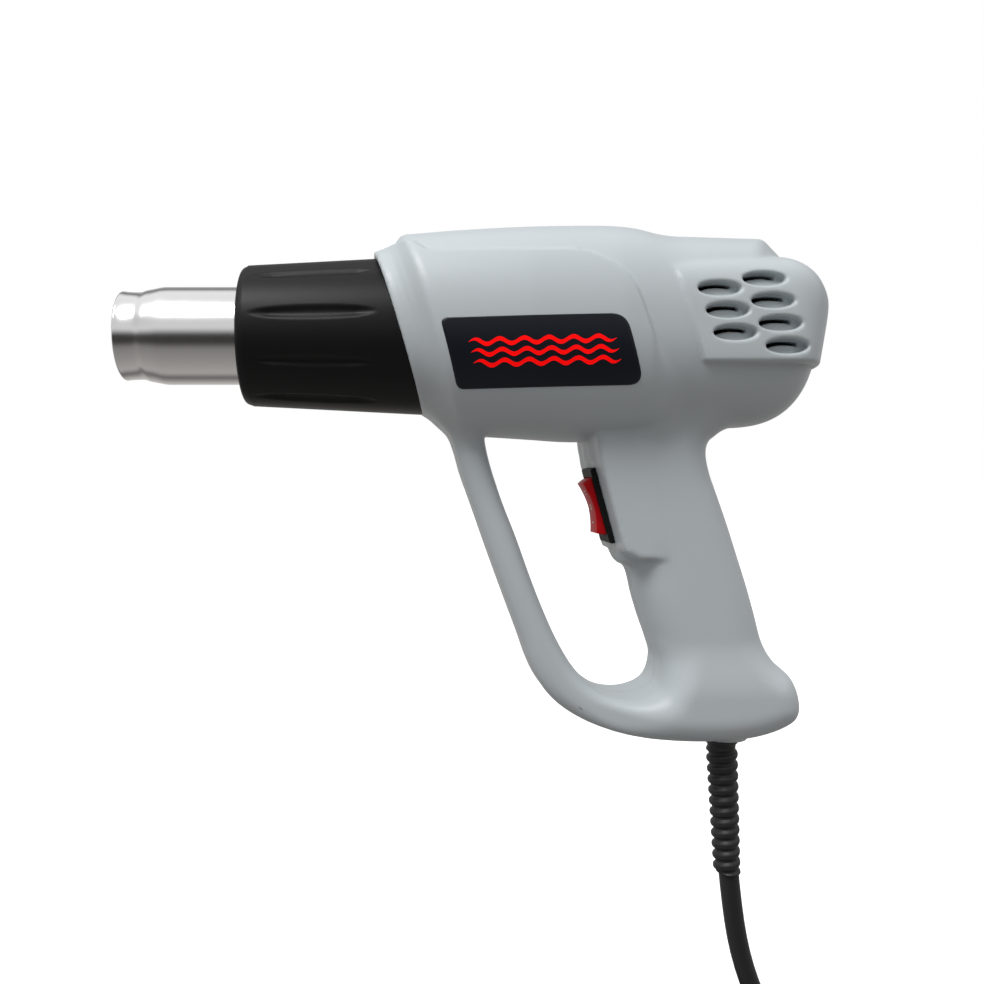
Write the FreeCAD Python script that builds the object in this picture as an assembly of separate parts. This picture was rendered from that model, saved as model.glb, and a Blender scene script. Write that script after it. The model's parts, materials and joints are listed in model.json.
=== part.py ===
import FreeCAD, Part
import os
from math import atan2, cos, degrees, pi, radians, sin, sqrt, tan

# A pistol-grip hot-air gun, in millimetres.
# Frame: origin at the centre of the grip, +Z up, -X along the air jet, +X to
# the motor end. The -Y half of the clamshell is housing_left.

V = FreeCAD.Vector

# ---- driving dimensions -------------------------------------------------
AXIS_Z = 81.5            # height of the air axis above the grip's centre
WALL = 2.5               # moulded wall
SPLIT_LEAN = 16.9        # lean of the shield's rear edge from the vertical

NOZZLE_R = 17.5          # slip-on accessories fit this barrel
NOZZLE_TIP_R = 15.7
NOZZLE_WALL = 0.8
NOZZLE_TIP_X = -201.5
NOZZLE_STEP_X = -193.0   # end of the necked tip
NOZZLE_BARREL_X = -186.0  # start of the full-size barrel
NOZZLE_GROOVE_X = -158.6                # shallow rolled groove behind the exposed barrel
NOZZLE_FLANGE_X = -113.0

SHIELD_FRONT_X = -158.0
SHIELD_FRONT_R = 24.8
SHIELD_REAR_R = 27.6
SHIELD_REAR_X = -102.8   # where the slanted rear edge crosses the air axis
SHIELD_WALL = 2.2
COLLAR_R = 25.5          # spigot of the shield inside the housing's mouth
COLLAR_END_X = -84.0
COLLAR_BORE_R = 23.5

BODY_FRONT_R = 35.4      # motor housing just behind its flared mouth
BODY_MID_R = 37.8
BODY_REAR_R = 33.8
BODY_END_X = 46.8
MOUTH_FLARE = 6.0

GRIP_LEAN = -0.288        # x shift of the grip's centre for each mm of height
GRIP_HALF_DEPTH = 20.6
GRIP_HALF_WIDTH = 16.5
GUARD_HALF_DEPTH = 6.0
GUARD_HALF_WIDTH = 11.5
BASE_HALF_WIDTH = 19.0
BASE_BOTTOM_Z = -62.5
SWITCH_BLOCK_HALF_WIDTH = 17.6

SWITCH_LEAN = 15.0       # lean of the switch's face from the vertical
SWITCH_X = -31.1         # centre of the bezel's front face
SWITCH_Z = 19.7
BEZEL_LENGTH = 27.6
BEZEL_WIDTH = 15.0
BEZEL_THICK = 1.8
SWITCH_BODY_LENGTH = 24.6
SWITCH_BODY_WIDTH = 13.0
SWITCH_DEPTH = 22.0
ROCKER_R = 10.8          # rounded underside, centred on the pivot
ROCKER_HALF_WIDTH = 5.0
ROCKER_PIVOT_DEPTH = 2.5
ROCKER_RISE = 3.2        # ends of the rocker above the bezel at rest
ROCKER_DIP = 1.6         # bottom of the rocker's V above the bezel
PIVOT_PIN_R = 1.2

MOTOR_R = 17.8
MOTOR_FRONT_X = -43.0
MOTOR_REAR_X = 6.0
SHAFT_R = 1.585
SHAFT_FRONT_X = -66.0
SHAFT_REAR_X = 10.0
RUNNING_GAP = 0.05
FAN_R = 29.0
FAN_HUB_R = 9.0
FAN_FRONT_X = -64.0
FAN_REAR_X = -50.0
FAN_BLADES = 7
DUCT_R = 31.5
DUCT_FRONT_R = 19.5
DUCT_WALL = 1.5

CORD_D = 7.0
BOOT_TOP_R = 6.4
BOOT_RIB_R = 5.5
BOOT_END_R = 4.7
BOOT_TOP_Z = -57.4
BOOT_END_Z = -113.0
COIL_TURN_R = 36.5       # middle of the coil's two layers
COIL_COLUMNS = 4
PLUG_PIN_R = 2.4
PLUG_PIN_LENGTH = 19.0
PLUG_PIN_PITCH = 19.0

CLAMP_Z = -45.0
CLAMP_SCREW_XS = (6.0, 22.4)
SCREW_SHANK_R = 1.4
SCREW_HEAD_R = 2.9
SCREW_HEAD_H = 2.0
BOSS_R = 4.4
LABEL_THICK = 0.5
BIG = 400.0

# Route of the cord from inside the base to the coil, as (x, z) in the plane y = 0.
CORD_ROUTE = [(14.1, -44.0), (14.9, -79.0), (17.2, -116.0), (21.5, -146.0), (32.5, -171.0),
              (48.0, -189.0)]

# Centre (x, z) and height of the head above y = 0 for each housing screw.
HOUSING_SCREWS = [(-72.0, 113.4, 7.0), (12.0, 110.0, 7.0), (-80.0, 47.5, 7.0), (18.0, 53.5, 9.0),
                  (10.5, 6.0, 7.5), (29.5, -50.0, 9.0), (-38.0, -50.0, 5.0)]


# ---- helpers --------------------------------------------------------------
def at(x, y, z):
    return V(x, y, z)


def cylinder(start, direction, radius, length):
    return Part.makeCylinder(radius, length, start, direction)


def rod_x(x0, x1, radius, y=0.0, z=AXIS_Z):
    return cylinder(at(x0, y, z), V(1, 0, 0), radius, x1 - x0)


def ring_x(x0, x1, outer, inner):
    return rod_x(x0, x1, outer).cut(rod_x(x0 - 1, x1 + 1, inner))


def rod_y(x, z, y0, y1, radius):
    return cylinder(at(x, y0, z), V(0, 1, 0), radius, y1 - y0)


def block(x0, x1, y0, y1, z0, z1):
    return Part.makeBox(x1 - x0, y1 - y0, z1 - z0, at(x0, y0, z0))


def revolved(profile):
    """Turn a closed (x, r) polygon about the air axis."""
    points = [at(x, 0, AXIS_Z + r) for x, r in profile]
    face = Part.Face(Part.makePolygon(points + points[:1]))
    return face.revolve(at(0, 0, AXIS_Z), V(1, 0, 0), 360)


def prism_y(outline, half_width, y0=None):
    """Extrude an (x, z) polygon along Y, centred on y = 0 unless y0 is given."""
    start = -half_width if y0 is None else y0
    points = [at(x, start, z) for x, z in outline]
    face = Part.Face(Part.makePolygon(points + points[:1]))
    return face.extrude(V(0, 2 * half_width, 0))


def fused(shapes):
    result = shapes[0]
    for shape in shapes[1:]:
        result = result.fuse(shape)
    return result.removeSplitter()


def ellipse_wire(centre, along, half_along, half_width):
    """An ellipse across Y: half_along in the direction given, half_width in Y."""
    if half_along >= half_width:
        curve = Part.Ellipse(centre + along * half_along, centre + V(0, half_width, 0), centre)
    else:
        curve = Part.Ellipse(centre + V(0, half_width, 0), centre + along * half_along, centre)
    return Part.Wire(curve.toShape())


def lofted(wires):
    return Part.makeLoft(wires, True, False)


def tilted(shape, lean_deg, x, z):
    """Lean a shape about the Y axis through (x, z): its top goes towards -X."""
    shape.rotate(at(x, 0, z), V(0, 1, 0), -lean_deg)
    return shape


def bent_tube(route, radius, report=""):
    """A round tube along straight runs joined by tangent arcs."""
    edges = []
    radii = []
    previous = route[0]
    for before, corner, after in zip(route, route[1:], route[2:]):
        run_in = before - corner
        run_out = after - corner
        half_turn = (pi - run_in.getAngle(run_out)) / 2
        reach = 0.45 * min(run_in.Length, run_out.Length)
        radii.append(reach / tan(half_turn))
        start = corner + run_in.normalize() * reach
        end = corner + run_out.normalize() * reach
        bisector = (run_in + run_out).normalize()
        middle = corner + bisector * (radii[-1] / cos(half_turn) - radii[-1])
        edges.append(Part.LineSegment(previous, start).toShape())
        edges.append(Part.Arc(start, middle, end).toShape())
        previous = end
    edges.append(Part.LineSegment(previous, route[-1]).toShape())
    path = Part.Wire(edges)
    direction = route[1] - route[0]
    section = Part.Wire(Part.makeCircle(radius, route[0], direction))
    tube = path.makePipeShell([section], True, False)
    if report:
        expected = pi * radius ** 2 * path.Length
        print(report, "length %.1f" % path.Length, "radii", ["%.0f" % r for r in radii],
              "volume / expected %.4f" % (tube.Volume / expected))
    return tube


def front_cut(offset):
    """Everything in front of the shield's slanted rear edge, moved back by offset."""
    x = SHIELD_REAR_X + offset
    box = block(x - BIG, x, -BIG, BIG, AXIS_Z - BIG, AXIS_Z + BIG)
    return tilted(box, SPLIT_LEAN, x, AXIS_Z)


# ---- the clamshell's outer and inner forms ----------------------------------
def body_profile(inset):
    """Half outline (x, r) of the motor housing, as points of one spline."""
    end = BODY_END_X - inset
    return [(-125.0, BODY_FRONT_R - inset), (-95.0, BODY_FRONT_R + 0.8 - inset),
            (-45.0, BODY_MID_R - inset), (-12.0, BODY_MID_R - 1.4 - inset),
            (6.0, BODY_REAR_R + 0.9 - inset), (22.0, BODY_REAR_R - 0.6 - inset),
            (end - 12.0, 0.82 * BODY_REAR_R - inset), (end - 3.0, 0.45 * BODY_REAR_R - inset),
            (end, 0.0)]


def motor_housing_form(inset):
    points = [at(x, 0, AXIS_Z + r) for x, r in body_profile(inset)]
    curve = Part.BSplineCurve()
    curve.interpolate(Points=points, InitialTangent=V(1, 0, 0), FinalTangent=V(0, 0, -1))
    foot = at(points[0].x, 0, AXIS_Z)
    outline = Part.Wire([curve.toShape(), Part.LineSegment(points[-1], foot).toShape(),
                         Part.LineSegment(foot, points[0]).toShape()])
    solid = Part.Face(outline).revolve(at(0, 0, AXIS_Z), V(1, 0, 0), 360)
    solid = solid.cut(front_cut(inset))
    rims = [edge for edge in solid.Edges
            if edge.BoundBox.XMax < -75 and edge.BoundBox.ZLength > 40]
    return solid.makeChamfer(MOUTH_FLARE, rims)


def grip_form(inset):
    wires = []
    for z in (64.0, 38.0, 0.0, -30.0, -50.0):
        centre = at(GRIP_LEAN * z - 0.9, 0, z)
        wires.append(ellipse_wire(centre, V(1, 0, 0), GRIP_HALF_DEPTH - inset,
                                  GRIP_HALF_WIDTH - inset))
    return lofted(wires)


def guard_form(inset):
    """Hollow strut from the housing's mouth to the base, in front of the fingers."""
    line = [(-79.5, 52.0), (-76.4, 37.0), (-70.0, 17.0), (-62.0, -5.0), (-53.0, -27.0),
            (-45.0, -42.0), (-34.0, -51.5), (-20.0, -55.0)]
    wires = []
    for i, (x, z) in enumerate(line):
        before = line[max(i - 1, 0)]
        after = line[min(i + 1, len(line) - 1)]
        across = V(-(after[1] - before[1]), 0, after[0] - before[0]).normalize()
        depth = GUARD_HALF_DEPTH + (2.0 if i in (0, len(line) - 1) else 0.0)
        width = GUARD_HALF_WIDTH + (2.5 if i in (0, len(line) - 1) else 0.0)
        wires.append(ellipse_wire(at(x, 0, z), across, depth - inset, width - inset))
    return lofted(wires)


def base_form(inset):
    """The widened foot of the grip, with its heel to the rear."""
    wires = []
    for x, low, high in ((-30.0, -59.0, -43.0), (-14.0, -62.2, -40.0), (8.0, BASE_BOTTOM_Z, -33.0),
                         (24.0, -61.2, -33.0), (34.0, -59.0, -37.5), (38.0, -56.0, -45.0)):
        middle = (low + high) / 2
        half_height = (high - low) / 2
        share = 0.62 if x > 36 else 1.0
        wires.append(ellipse_wire(at(x, 0, middle), V(0, 0, 1), half_height - inset,
                                  share * BASE_HALF_WIDTH - inset))
    return lofted(wires)


def switch_block_form(inset):
    outline = [(-36.0 + inset, 50.0), (-33.8 + inset, 38.0), (-24.2 + inset, 2.5 + inset),
               (-20.5, inset), (-6.0, inset), (-18.0, 50.0)]
    return prism_y(outline, SWITCH_BLOCK_HALF_WIDTH - inset)


def shell_form(inset):
    return fused([motor_housing_form(inset), grip_form(inset), guard_form(inset),
                  base_form(inset), switch_block_form(inset)])


def vent_cutters():
    """Two leaning columns of oval air inlets, through both sides."""
    cutters = []
    for first_x, first_z, count in ((1.0, 91.2, 3), (15.7, 94.3, 4)):
        for i in range(count):
            centre = at(first_x + 2.4 * i, 0, first_z - 7.2 * i)
            oval = Part.Ellipse(centre + V(7.1, 0, 0), centre + V(0, 0, 2.3), centre)
            face = Part.Face(Part.Wire(oval.toShape()))
            cutters.append(face.extrude(V(0, 60, 0)))
            cutters.append(face.extrude(V(0, -60, 0)))
    return cutters


def motor_saddles():
    """Webs from the housing's wall to the motor, one pair on each side."""
    webs = []
    for x in (-38.0, -4.0):
        webs.append(block(x, x + 3, -BIG, BIG, AXIS_Z - 5, AXIS_Z + 5))
    return fused(webs).cut(rod_x(-60, 20, MOTOR_R + 0.1))


def switch_window():
    size = SWITCH_BODY_LENGTH / 2 + 0.2
    width = SWITCH_BODY_WIDTH / 2 + 0.2
    box = block(SWITCH_X - 6, SWITCH_X + 12, -width, width, SWITCH_Z - size, SWITCH_Z + size)
    return tilted(box, SWITCH_LEAN, SWITCH_X, SWITCH_Z)


def bezel_seat():
    """Flat facet under the bezel."""
    box = block(SWITCH_X - 12, SWITCH_X + BEZEL_THICK, -BIG, BIG, SWITCH_Z - 17, SWITCH_Z + 18)
    return tilted(box, SWITCH_LEAN, SWITCH_X, SWITCH_Z)


def housing_halves():
    outer = shell_form(0.0).cut(bezel_seat())
    shell = outer.cut(shell_form(WALL))
    bosses = []
    for x, z, head in HOUSING_SCREWS:
        bosses.append(rod_y(x, z, -BIG, BIG, BOSS_R))
    bosses.append(motor_saddles())
    shell = shell.fuse([boss.common(outer) for boss in bosses])
    cutters = vent_cutters()
    cutters.append(rod_x(-140, COLLAR_END_X + 0.5, COLLAR_R + 0.15))
    cutters.append(switch_window())
    cutters.append(cylinder(at(14.45, 0, -70), V(0, 0, 1), BOOT_TOP_R + 0.3, 13))
    cutters.append(rod_x(-70, 20, MOTOR_R + 0.1))
    cutters.append(ring_x(-90, -44, DUCT_R + 0.3, 5))
    for x, z, head in HOUSING_SCREWS:
        cutters.append(rod_y(x, z, head - SCREW_HEAD_H, 60, SCREW_HEAD_R + 0.4))
        cutters.append(rod_y(x, z, 0, head, SCREW_SHANK_R + 0.3))
        cutters.append(rod_y(x, z, -12, 0, SCREW_SHANK_R + 0.02))
    shell = shell.cut(cutters)
    left = shell.common(block(-BIG, BIG, -BIG, 0, -BIG, BIG))
    right = shell.common(block(-BIG, BIG, 0, BIG, -BIG, BIG))
    posts = []
    for x in CLAMP_SCREW_XS:
        post = rod_y(x, CLAMP_Z, 0, BIG, 3.0).common(outer)
        posts.append(post.cut(rod_y(x, CLAMP_Z, -1, 6, SCREW_SHANK_R + 0.02)))
    return left, right.fuse(posts)


def housing_screws():
    screws = []
    for x, z, head in HOUSING_SCREWS:
        shank = rod_y(x, z, -11, head - SCREW_HEAD_H, SCREW_SHANK_R)
        cap = rod_y(x, z, head - SCREW_HEAD_H, head, SCREW_HEAD_R)
        slot = block(x - 0.4, x + 0.4, head - 1, head + 1, z - 1.8, z + 1.8)
        cross = block(x - 1.8, x + 1.8, head - 1, head + 1, z - 0.4, z + 0.4)
        screws.append(shank.fuse(cap).cut([slot, cross]))
    return Part.makeCompound(screws)


# ---- hot end ------------------------------------------------------------------
def nozzle_tube():
    wall = NOZZLE_WALL
    rear = NOZZLE_FLANGE_X
    profile = [(NOZZLE_TIP_X, NOZZLE_TIP_R - wall), (NOZZLE_TIP_X, NOZZLE_TIP_R),
               (NOZZLE_STEP_X, NOZZLE_TIP_R), (NOZZLE_STEP_X + 2, NOZZLE_TIP_R + 0.7),
               (NOZZLE_BARREL_X - 3, NOZZLE_R - 0.3), (NOZZLE_BARREL_X, NOZZLE_R),
               (NOZZLE_GROOVE_X, NOZZLE_R), (NOZZLE_GROOVE_X + 0.3, NOZZLE_R - 0.3),
               (NOZZLE_GROOVE_X + 1.2, NOZZLE_R - 0.3), (NOZZLE_GROOVE_X + 1.5, NOZZLE_R),
               (rear - 1, NOZZLE_R), (rear - 1, 22.5), (rear, 22.5), (rear, NOZZLE_R - wall),
               (NOZZLE_BARREL_X, NOZZLE_R - wall), (NOZZLE_STEP_X, NOZZLE_TIP_R - wall)]
    return revolved(profile).cut(bracket_holes(1.27))


def heat_shield():
    reach = -85.0
    slope = (SHIELD_REAR_R - SHIELD_FRONT_R) / (SHIELD_REAR_X - SHIELD_FRONT_X)
    rear_r = SHIELD_FRONT_R + slope * (reach - SHIELD_FRONT_X)
    cone = revolved([(SHIELD_FRONT_X, 0), (SHIELD_FRONT_X, SHIELD_FRONT_R - 2),
                     (SHIELD_FRONT_X + 2, SHIELD_FRONT_R), (reach, rear_r), (reach, 0)])
    cone = cone.common(front_cut(-0.15))
    solid = cone.fuse(rod_x(-120, COLLAR_END_X, COLLAR_R)).removeSplitter()
    bore = revolved([(SHIELD_FRONT_X + SHIELD_WALL, 0), (SHIELD_FRONT_X + SHIELD_WALL, 22.6),
                     (-125, COLLAR_BORE_R), (COLLAR_END_X + 1, COLLAR_BORE_R),
                     (COLLAR_END_X + 1, 0)])
    mouth = rod_x(SHIELD_FRONT_X - 1, SHIELD_FRONT_X + SHIELD_WALL + 1, NOZZLE_R + 2.0)
    solid = solid.cut(bore).cut(mouth)
    flutes = []
    for i in range(10):
        lift = SHIELD_FRONT_R + 60 + 0.4
        angle = radians(36 * i + 18)
        centre = at(-132, lift * sin(angle), AXIS_Z + lift * cos(angle))
        flutes.append(Part.makeSphere(60, centre))
    return solid.cut(flutes)


def outlet_grille():
    disc = rod_x(-184.0, -182.5, 16.4)
    holes = [rod_x(-185, -181, 2.0)]
    for ring_r, count in ((5.6, 6), (11.4, 12)):
        for i in range(count):
            angle = 2 * pi * i / count
            holes.append(rod_x(-185, -181, 2.0, ring_r * sin(angle), AXIS_Z + ring_r * cos(angle)))
    return disc.cut(holes)


def mica_sleeve():
    return ring_x(-182.2, -116.0, 16.5, 16.1)


def heater_former():
    flat = block(-181.5, -124.0, -12.2, 12.2, AXIS_Z - 0.4, AXIS_Z + 0.4)
    upright = block(-181.5, -124.0, -0.4, 0.4, AXIS_Z - 12.2, AXIS_Z + 12.2)
    return flat.fuse(upright).removeSplitter()


def heater_windings():
    rings = []
    for i in range(14):
        x = -179.0 + 4.0 * i
        rings.append(Part.makeTorus(13.0, 0.55, at(x, 0, AXIS_Z), V(1, 0, 0)))
    return Part.makeCompound(rings)


def heater_base():
    disc = rod_x(-123.8, -119.8, 15.9)
    holes = []
    for i in range(8):
        angle = 2 * pi * i / 8
        holes.append(rod_x(-125, -118, 3.0, 10.2 * sin(angle), AXIS_Z + 10.2 * cos(angle)))
    return disc.cut(holes)


def heater_bracket():
    """Steel plate that joins the nozzle's flange to the air duct."""
    plate = rod_x(NOZZLE_FLANGE_X + 0.1, NOZZLE_FLANGE_X + 1.6, 23.2)
    window = rod_x(NOZZLE_FLANGE_X - 1, NOZZLE_FLANGE_X + 3, 16.0)
    return plate.cut([window] + bracket_holes(1.27))


def bracket_holes(radius):
    holes = []
    for i in range(3):
        angle = 2 * pi * i / 3
        holes.append(rod_x(NOZZLE_FLANGE_X - 3, NOZZLE_FLANGE_X + 4, radius,
                           20.2 * sin(angle), AXIS_Z + 20.2 * cos(angle)))
    return holes


def heater_screws():
    screws = []
    for i in range(3):
        angle = 2 * pi * i / 3
        y = 20.2 * sin(angle)
        z = AXIS_Z + 20.2 * cos(angle)
        shank = rod_x(NOZZLE_FLANGE_X - 1.0, NOZZLE_FLANGE_X + 3.0, 1.25, y, z)
        head = rod_x(NOZZLE_FLANGE_X - 2.4, NOZZLE_FLANGE_X - 1.0, 2.0, y, z)
        screws.append(shank.fuse(head).removeSplitter())
    return Part.makeCompound(screws)


def thermal_fuse():
    body = rod_x(-109.0, -99.0, 2.0, 9.0, AXIS_Z)
    leads = rod_x(-111.0, -96.0, 0.5, 9.0, AXIS_Z)
    return body.fuse(leads).removeSplitter()


def air_duct():
    """Fan shroud that narrows to the heater, held by the bracket's screws."""
    front = NOZZLE_FLANGE_X + 1.7
    wall = DUCT_WALL
    profile = [(front, 16.0), (front, 22.6), (front + 3.5, 22.6), (front + 3.5, DUCT_FRONT_R - 0.7),
               (-80.0, DUCT_FRONT_R), (-67.0, DUCT_R), (-46.5, DUCT_R), (-46.5, DUCT_R - wall),
               (-66.4, DUCT_R - wall), (-80.6, DUCT_FRONT_R - wall), (front + 3.5, 16.0)]
    return revolved(profile).cut(bracket_holes(1.27))


# ---- motor and fan --------------------------------------------------------------
def fan_impeller():
    hub = rod_x(FAN_FRONT_X, FAN_REAR_X, FAN_HUB_R)
    hub = hub.fuse(Part.makeCone(5.0, FAN_HUB_R, 3.0, at(FAN_FRONT_X - 3, 0, AXIS_Z), V(1, 0, 0)))
    blades = []
    middle = (FAN_FRONT_X + FAN_REAR_X) / 2
    for i in range(FAN_BLADES):
        blade = block(middle - 8.5, middle + 8.5, -0.8, 0.8, AXIS_Z + FAN_HUB_R - 1, AXIS_Z + 40)
        blade.rotate(at(middle, 0, AXIS_Z), V(0, 0, 1), 38)
        blade.rotate(at(middle, 0, AXIS_Z), V(1, 0, 0), 360.0 * i / FAN_BLADES)
        blades.append(blade)
    swept = fused(blades).common(ring_x(FAN_FRONT_X, FAN_REAR_X, FAN_R, FAN_HUB_R - 0.5))
    return hub.fuse(swept).removeSplitter().cut(rod_x(FAN_FRONT_X - 4, FAN_REAR_X + 1, SHAFT_R))


def motor_shaft():
    return rod_x(SHAFT_FRONT_X, SHAFT_REAR_X, SHAFT_R)


def motor_bearings():
    front = ring_x(MOTOR_FRONT_X - 2.5, MOTOR_FRONT_X + 1.5, 4.0, SHAFT_R + RUNNING_GAP)
    rear = ring_x(MOTOR_REAR_X - 2.5, MOTOR_REAR_X + 1.5, 4.0, SHAFT_R + RUNNING_GAP)
    return Part.makeCompound([front, rear])


def motor_can():
    tube = ring_x(MOTOR_FRONT_X, MOTOR_REAR_X - 4.0, MOTOR_R, MOTOR_R - 1.2)
    end = ring_x(MOTOR_FRONT_X, MOTOR_FRONT_X + 1.5, MOTOR_R, 4.0)
    nose = ring_x(MOTOR_FRONT_X - 2.5, MOTOR_FRONT_X + 0.1, 6.0, 4.0)
    screw_holes = []
    for side in (-1, 1):
        screw_holes.append(rod_x(MOTOR_FRONT_X - 1, MOTOR_FRONT_X + 3, 1.27, 0, AXIS_Z + 12.5 * side))
    return fused([tube, end, nose]).cut(screw_holes)


def motor_end_cap():
    cap = ring_x(MOTOR_REAR_X - 4.0, MOTOR_REAR_X, MOTOR_R - 0.2, 4.0)
    return cap


def motor_magnets():
    sleeve = ring_x(-36.0, -8.0, MOTOR_R - 1.25, MOTOR_R - 4.0)
    left = sleeve.common(block(-40, 0, -BIG, -6.5, -BIG, BIG))
    right = sleeve.common(block(-40, 0, 6.5, BIG, -BIG, BIG))
    return Part.makeCompound([left, right])


def motor_armature():
    core = ring_x(-34.0, -10.0, 13.2, SHAFT_R)
    slots = []
    for i in range(5):
        mouth = block(-40, 0, -0.8, 0.8, AXIS_Z + 6, AXIS_Z + 20)
        pocket = rod_x(-40, 0, 2.6, 0, AXIS_Z + 9.0)
        slot = mouth.fuse(pocket)
        slot.rotate(at(0, 0, AXIS_Z), V(1, 0, 0), 72.0 * i)
        slots.append(slot)
    return core.cut(slots)


def armature_windings():
    coils = []
    for i in range(5):
        coil = rod_x(-36.5, -7.5, 2.2, 0, AXIS_Z + 9.0)
        coil.rotate(at(0, 0, AXIS_Z), V(1, 0, 0), 72.0 * i)
        coils.append(coil)
    return Part.makeCompound(coils)


def commutator():
    return ring_x(-7.0, 0.5, 4.6, SHAFT_R)


def motor_brushes():
    brushes = []
    for side in (-1, 1):
        low = 4.9 if side > 0 else -10.5
        brushes.append(block(-5.0, -1.0, low, low + 5.6, AXIS_Z - 2, AXIS_Z + 2))
    return Part.makeCompound(brushes)


def motor_mount():
    """Spider plate between the duct and the motor, open for the air."""
    plate = ring_x(MOTOR_FRONT_X - 1.6, MOTOR_FRONT_X - 0.1, 34.2, 6.2)
    windows = []
    for i in range(4):
        window = ring_x(MOTOR_FRONT_X - 3, MOTOR_FRONT_X + 2, 31.0, 16.5)
        window = window.common(block(-BIG, BIG, 3.0, BIG, AXIS_Z + 3.0, BIG))
        window.rotate(at(0, 0, AXIS_Z), V(1, 0, 0), 90.0 * i + 45.0)
        windows.append(window)
    for side in (-1, 1):
        windows.append(rod_x(MOTOR_FRONT_X - 3, MOTOR_FRONT_X + 2, 1.27, 0, AXIS_Z + 12.5 * side))
        windows.append(rod_x(MOTOR_FRONT_X - 3, MOTOR_FRONT_X + 2, 1.8, 6.5 * side, 48.4))
    return plate.cut(windows)


def motor_screws():
    screws = []
    for side in (-1, 1):
        z = AXIS_Z + 12.5 * side
        shank = rod_x(MOTOR_FRONT_X - 1.6, MOTOR_FRONT_X + 2.5, 1.25, 0, z)
        head = rod_x(MOTOR_FRONT_X - 3.0, MOTOR_FRONT_X - 1.6, 2.2, 0, z)
        screws.append(shank.fuse(head).removeSplitter())
    return Part.makeCompound(screws)


def rectifier_board():
    board = rod_x(11.0, 12.6, 15.0)
    return board.cut(rod_x(10, 14, 2.5))


def rectifier_diodes():
    diodes = []
    for y in (-7.5, 7.5):
        for z in (-6.0, 6.0):
            diodes.append(rod_x(12.7, 12.8, 0.5, y, AXIS_Z + z).fuse(
                block(12.7, 15.5, y - 1.4, y + 1.4, AXIS_Z + z - 2.6, AXIS_Z + z + 2.6)))
    return Part.makeCompound(diodes)


# ---- switch -----------------------------------------------------------------------
def switch_place(shape):
    """Shapes are drawn with the bezel's face at x = 0 and the body towards +X."""
    shape.rotate(at(0, 0, 0), V(0, 1, 0), -SWITCH_LEAN)
    shape.translate(at(SWITCH_X, 0, SWITCH_Z))
    return shape


def rocker_space(clearance):
    return rod_y(ROCKER_PIVOT_DEPTH, 0, -ROCKER_HALF_WIDTH - clearance,
                 ROCKER_HALF_WIDTH + clearance, ROCKER_R + clearance)


def switch_body():
    half = BEZEL_LENGTH / 2
    wide = BEZEL_WIDTH / 2
    bezel = block(0, BEZEL_THICK, -wide, wide, -half, half)
    rims = [edge for edge in bezel.Edges if edge.BoundBox.XMax < 0.01]
    bezel = bezel.makeChamfer(0.6, rims)
    body = block(BEZEL_THICK, BEZEL_THICK + SWITCH_DEPTH, -SWITCH_BODY_WIDTH / 2,
                 SWITCH_BODY_WIDTH / 2, -SWITCH_BODY_LENGTH / 2, SWITCH_BODY_LENGTH / 2)
    solid = bezel.fuse(body).removeSplitter().cut(rocker_space(0.3))
    pin_hole = rod_y(ROCKER_PIVOT_DEPTH, 0, -6.2, 6.2, PIVOT_PIN_R + RUNNING_GAP)
    return switch_place(solid.cut(pin_hole))


def switch_rocker():
    drum = rocker_space(0.0)
    tip = sqrt(ROCKER_R ** 2 - (ROCKER_RISE + ROCKER_PIVOT_DEPTH) ** 2)
    keep = prism_y([(-ROCKER_RISE, tip + 0.01), (-ROCKER_DIP, 0.0), (-ROCKER_RISE, -tip - 0.01),
                    (4.0, -20.0), (9.5, -6.0), (9.5, 6.0), (4.0, 20.0)], 10.0)
    pin = rod_y(ROCKER_PIVOT_DEPTH, 0, -6.1, 6.1, PIVOT_PIN_R)
    return switch_place(drum.common(keep).fuse(pin).removeSplitter())


def switch_terminals():
    blades = []
    back = BEZEL_THICK + SWITCH_DEPTH
    for z in (-8.0, 0.0, 8.0):
        for y in (-3.5, 3.5):
            blades.append(block(back, back + 7.5, y - 0.4, y + 0.4, z - 2.4, z + 2.4))
    return switch_place(Part.makeCompound(blades))


# ---- electrical parts in the grip ----------------------------------------------------
def capacitor():
    return block(-11.0, 5.0, -4.0, 4.0, -9.0, 3.0)


def terminal_block():
    blk = block(-3.0, 17.0, -7.0, 7.0, -32.0, -22.0)
    holes = []
    for x in (2.0, 7.0, 12.0):
        holes.append(cylinder(at(x, 0, -34), V(0, 0, 1), 1.8, 14))
    return blk.cut(holes)


def cord_clamp():
    bar = block(3.0, 25.4, -7.5, -CORD_D / 2, CLAMP_Z - 3, CLAMP_Z + 3)
    holes = [rod_y(x, CLAMP_Z, -10, 0, SCREW_SHANK_R + 0.1) for x in CLAMP_SCREW_XS]
    return bar.cut(holes)


def cord_clamp_screws():
    screws = []
    for x in CLAMP_SCREW_XS:
        shank = rod_y(x, CLAMP_Z, -7.5, 5.0, SCREW_SHANK_R)
        head = rod_y(x, CLAMP_Z, -9.5, -7.5, SCREW_HEAD_R - 0.4)
        screws.append(shank.fuse(head).removeSplitter())
    return Part.makeCompound(screws)


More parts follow.
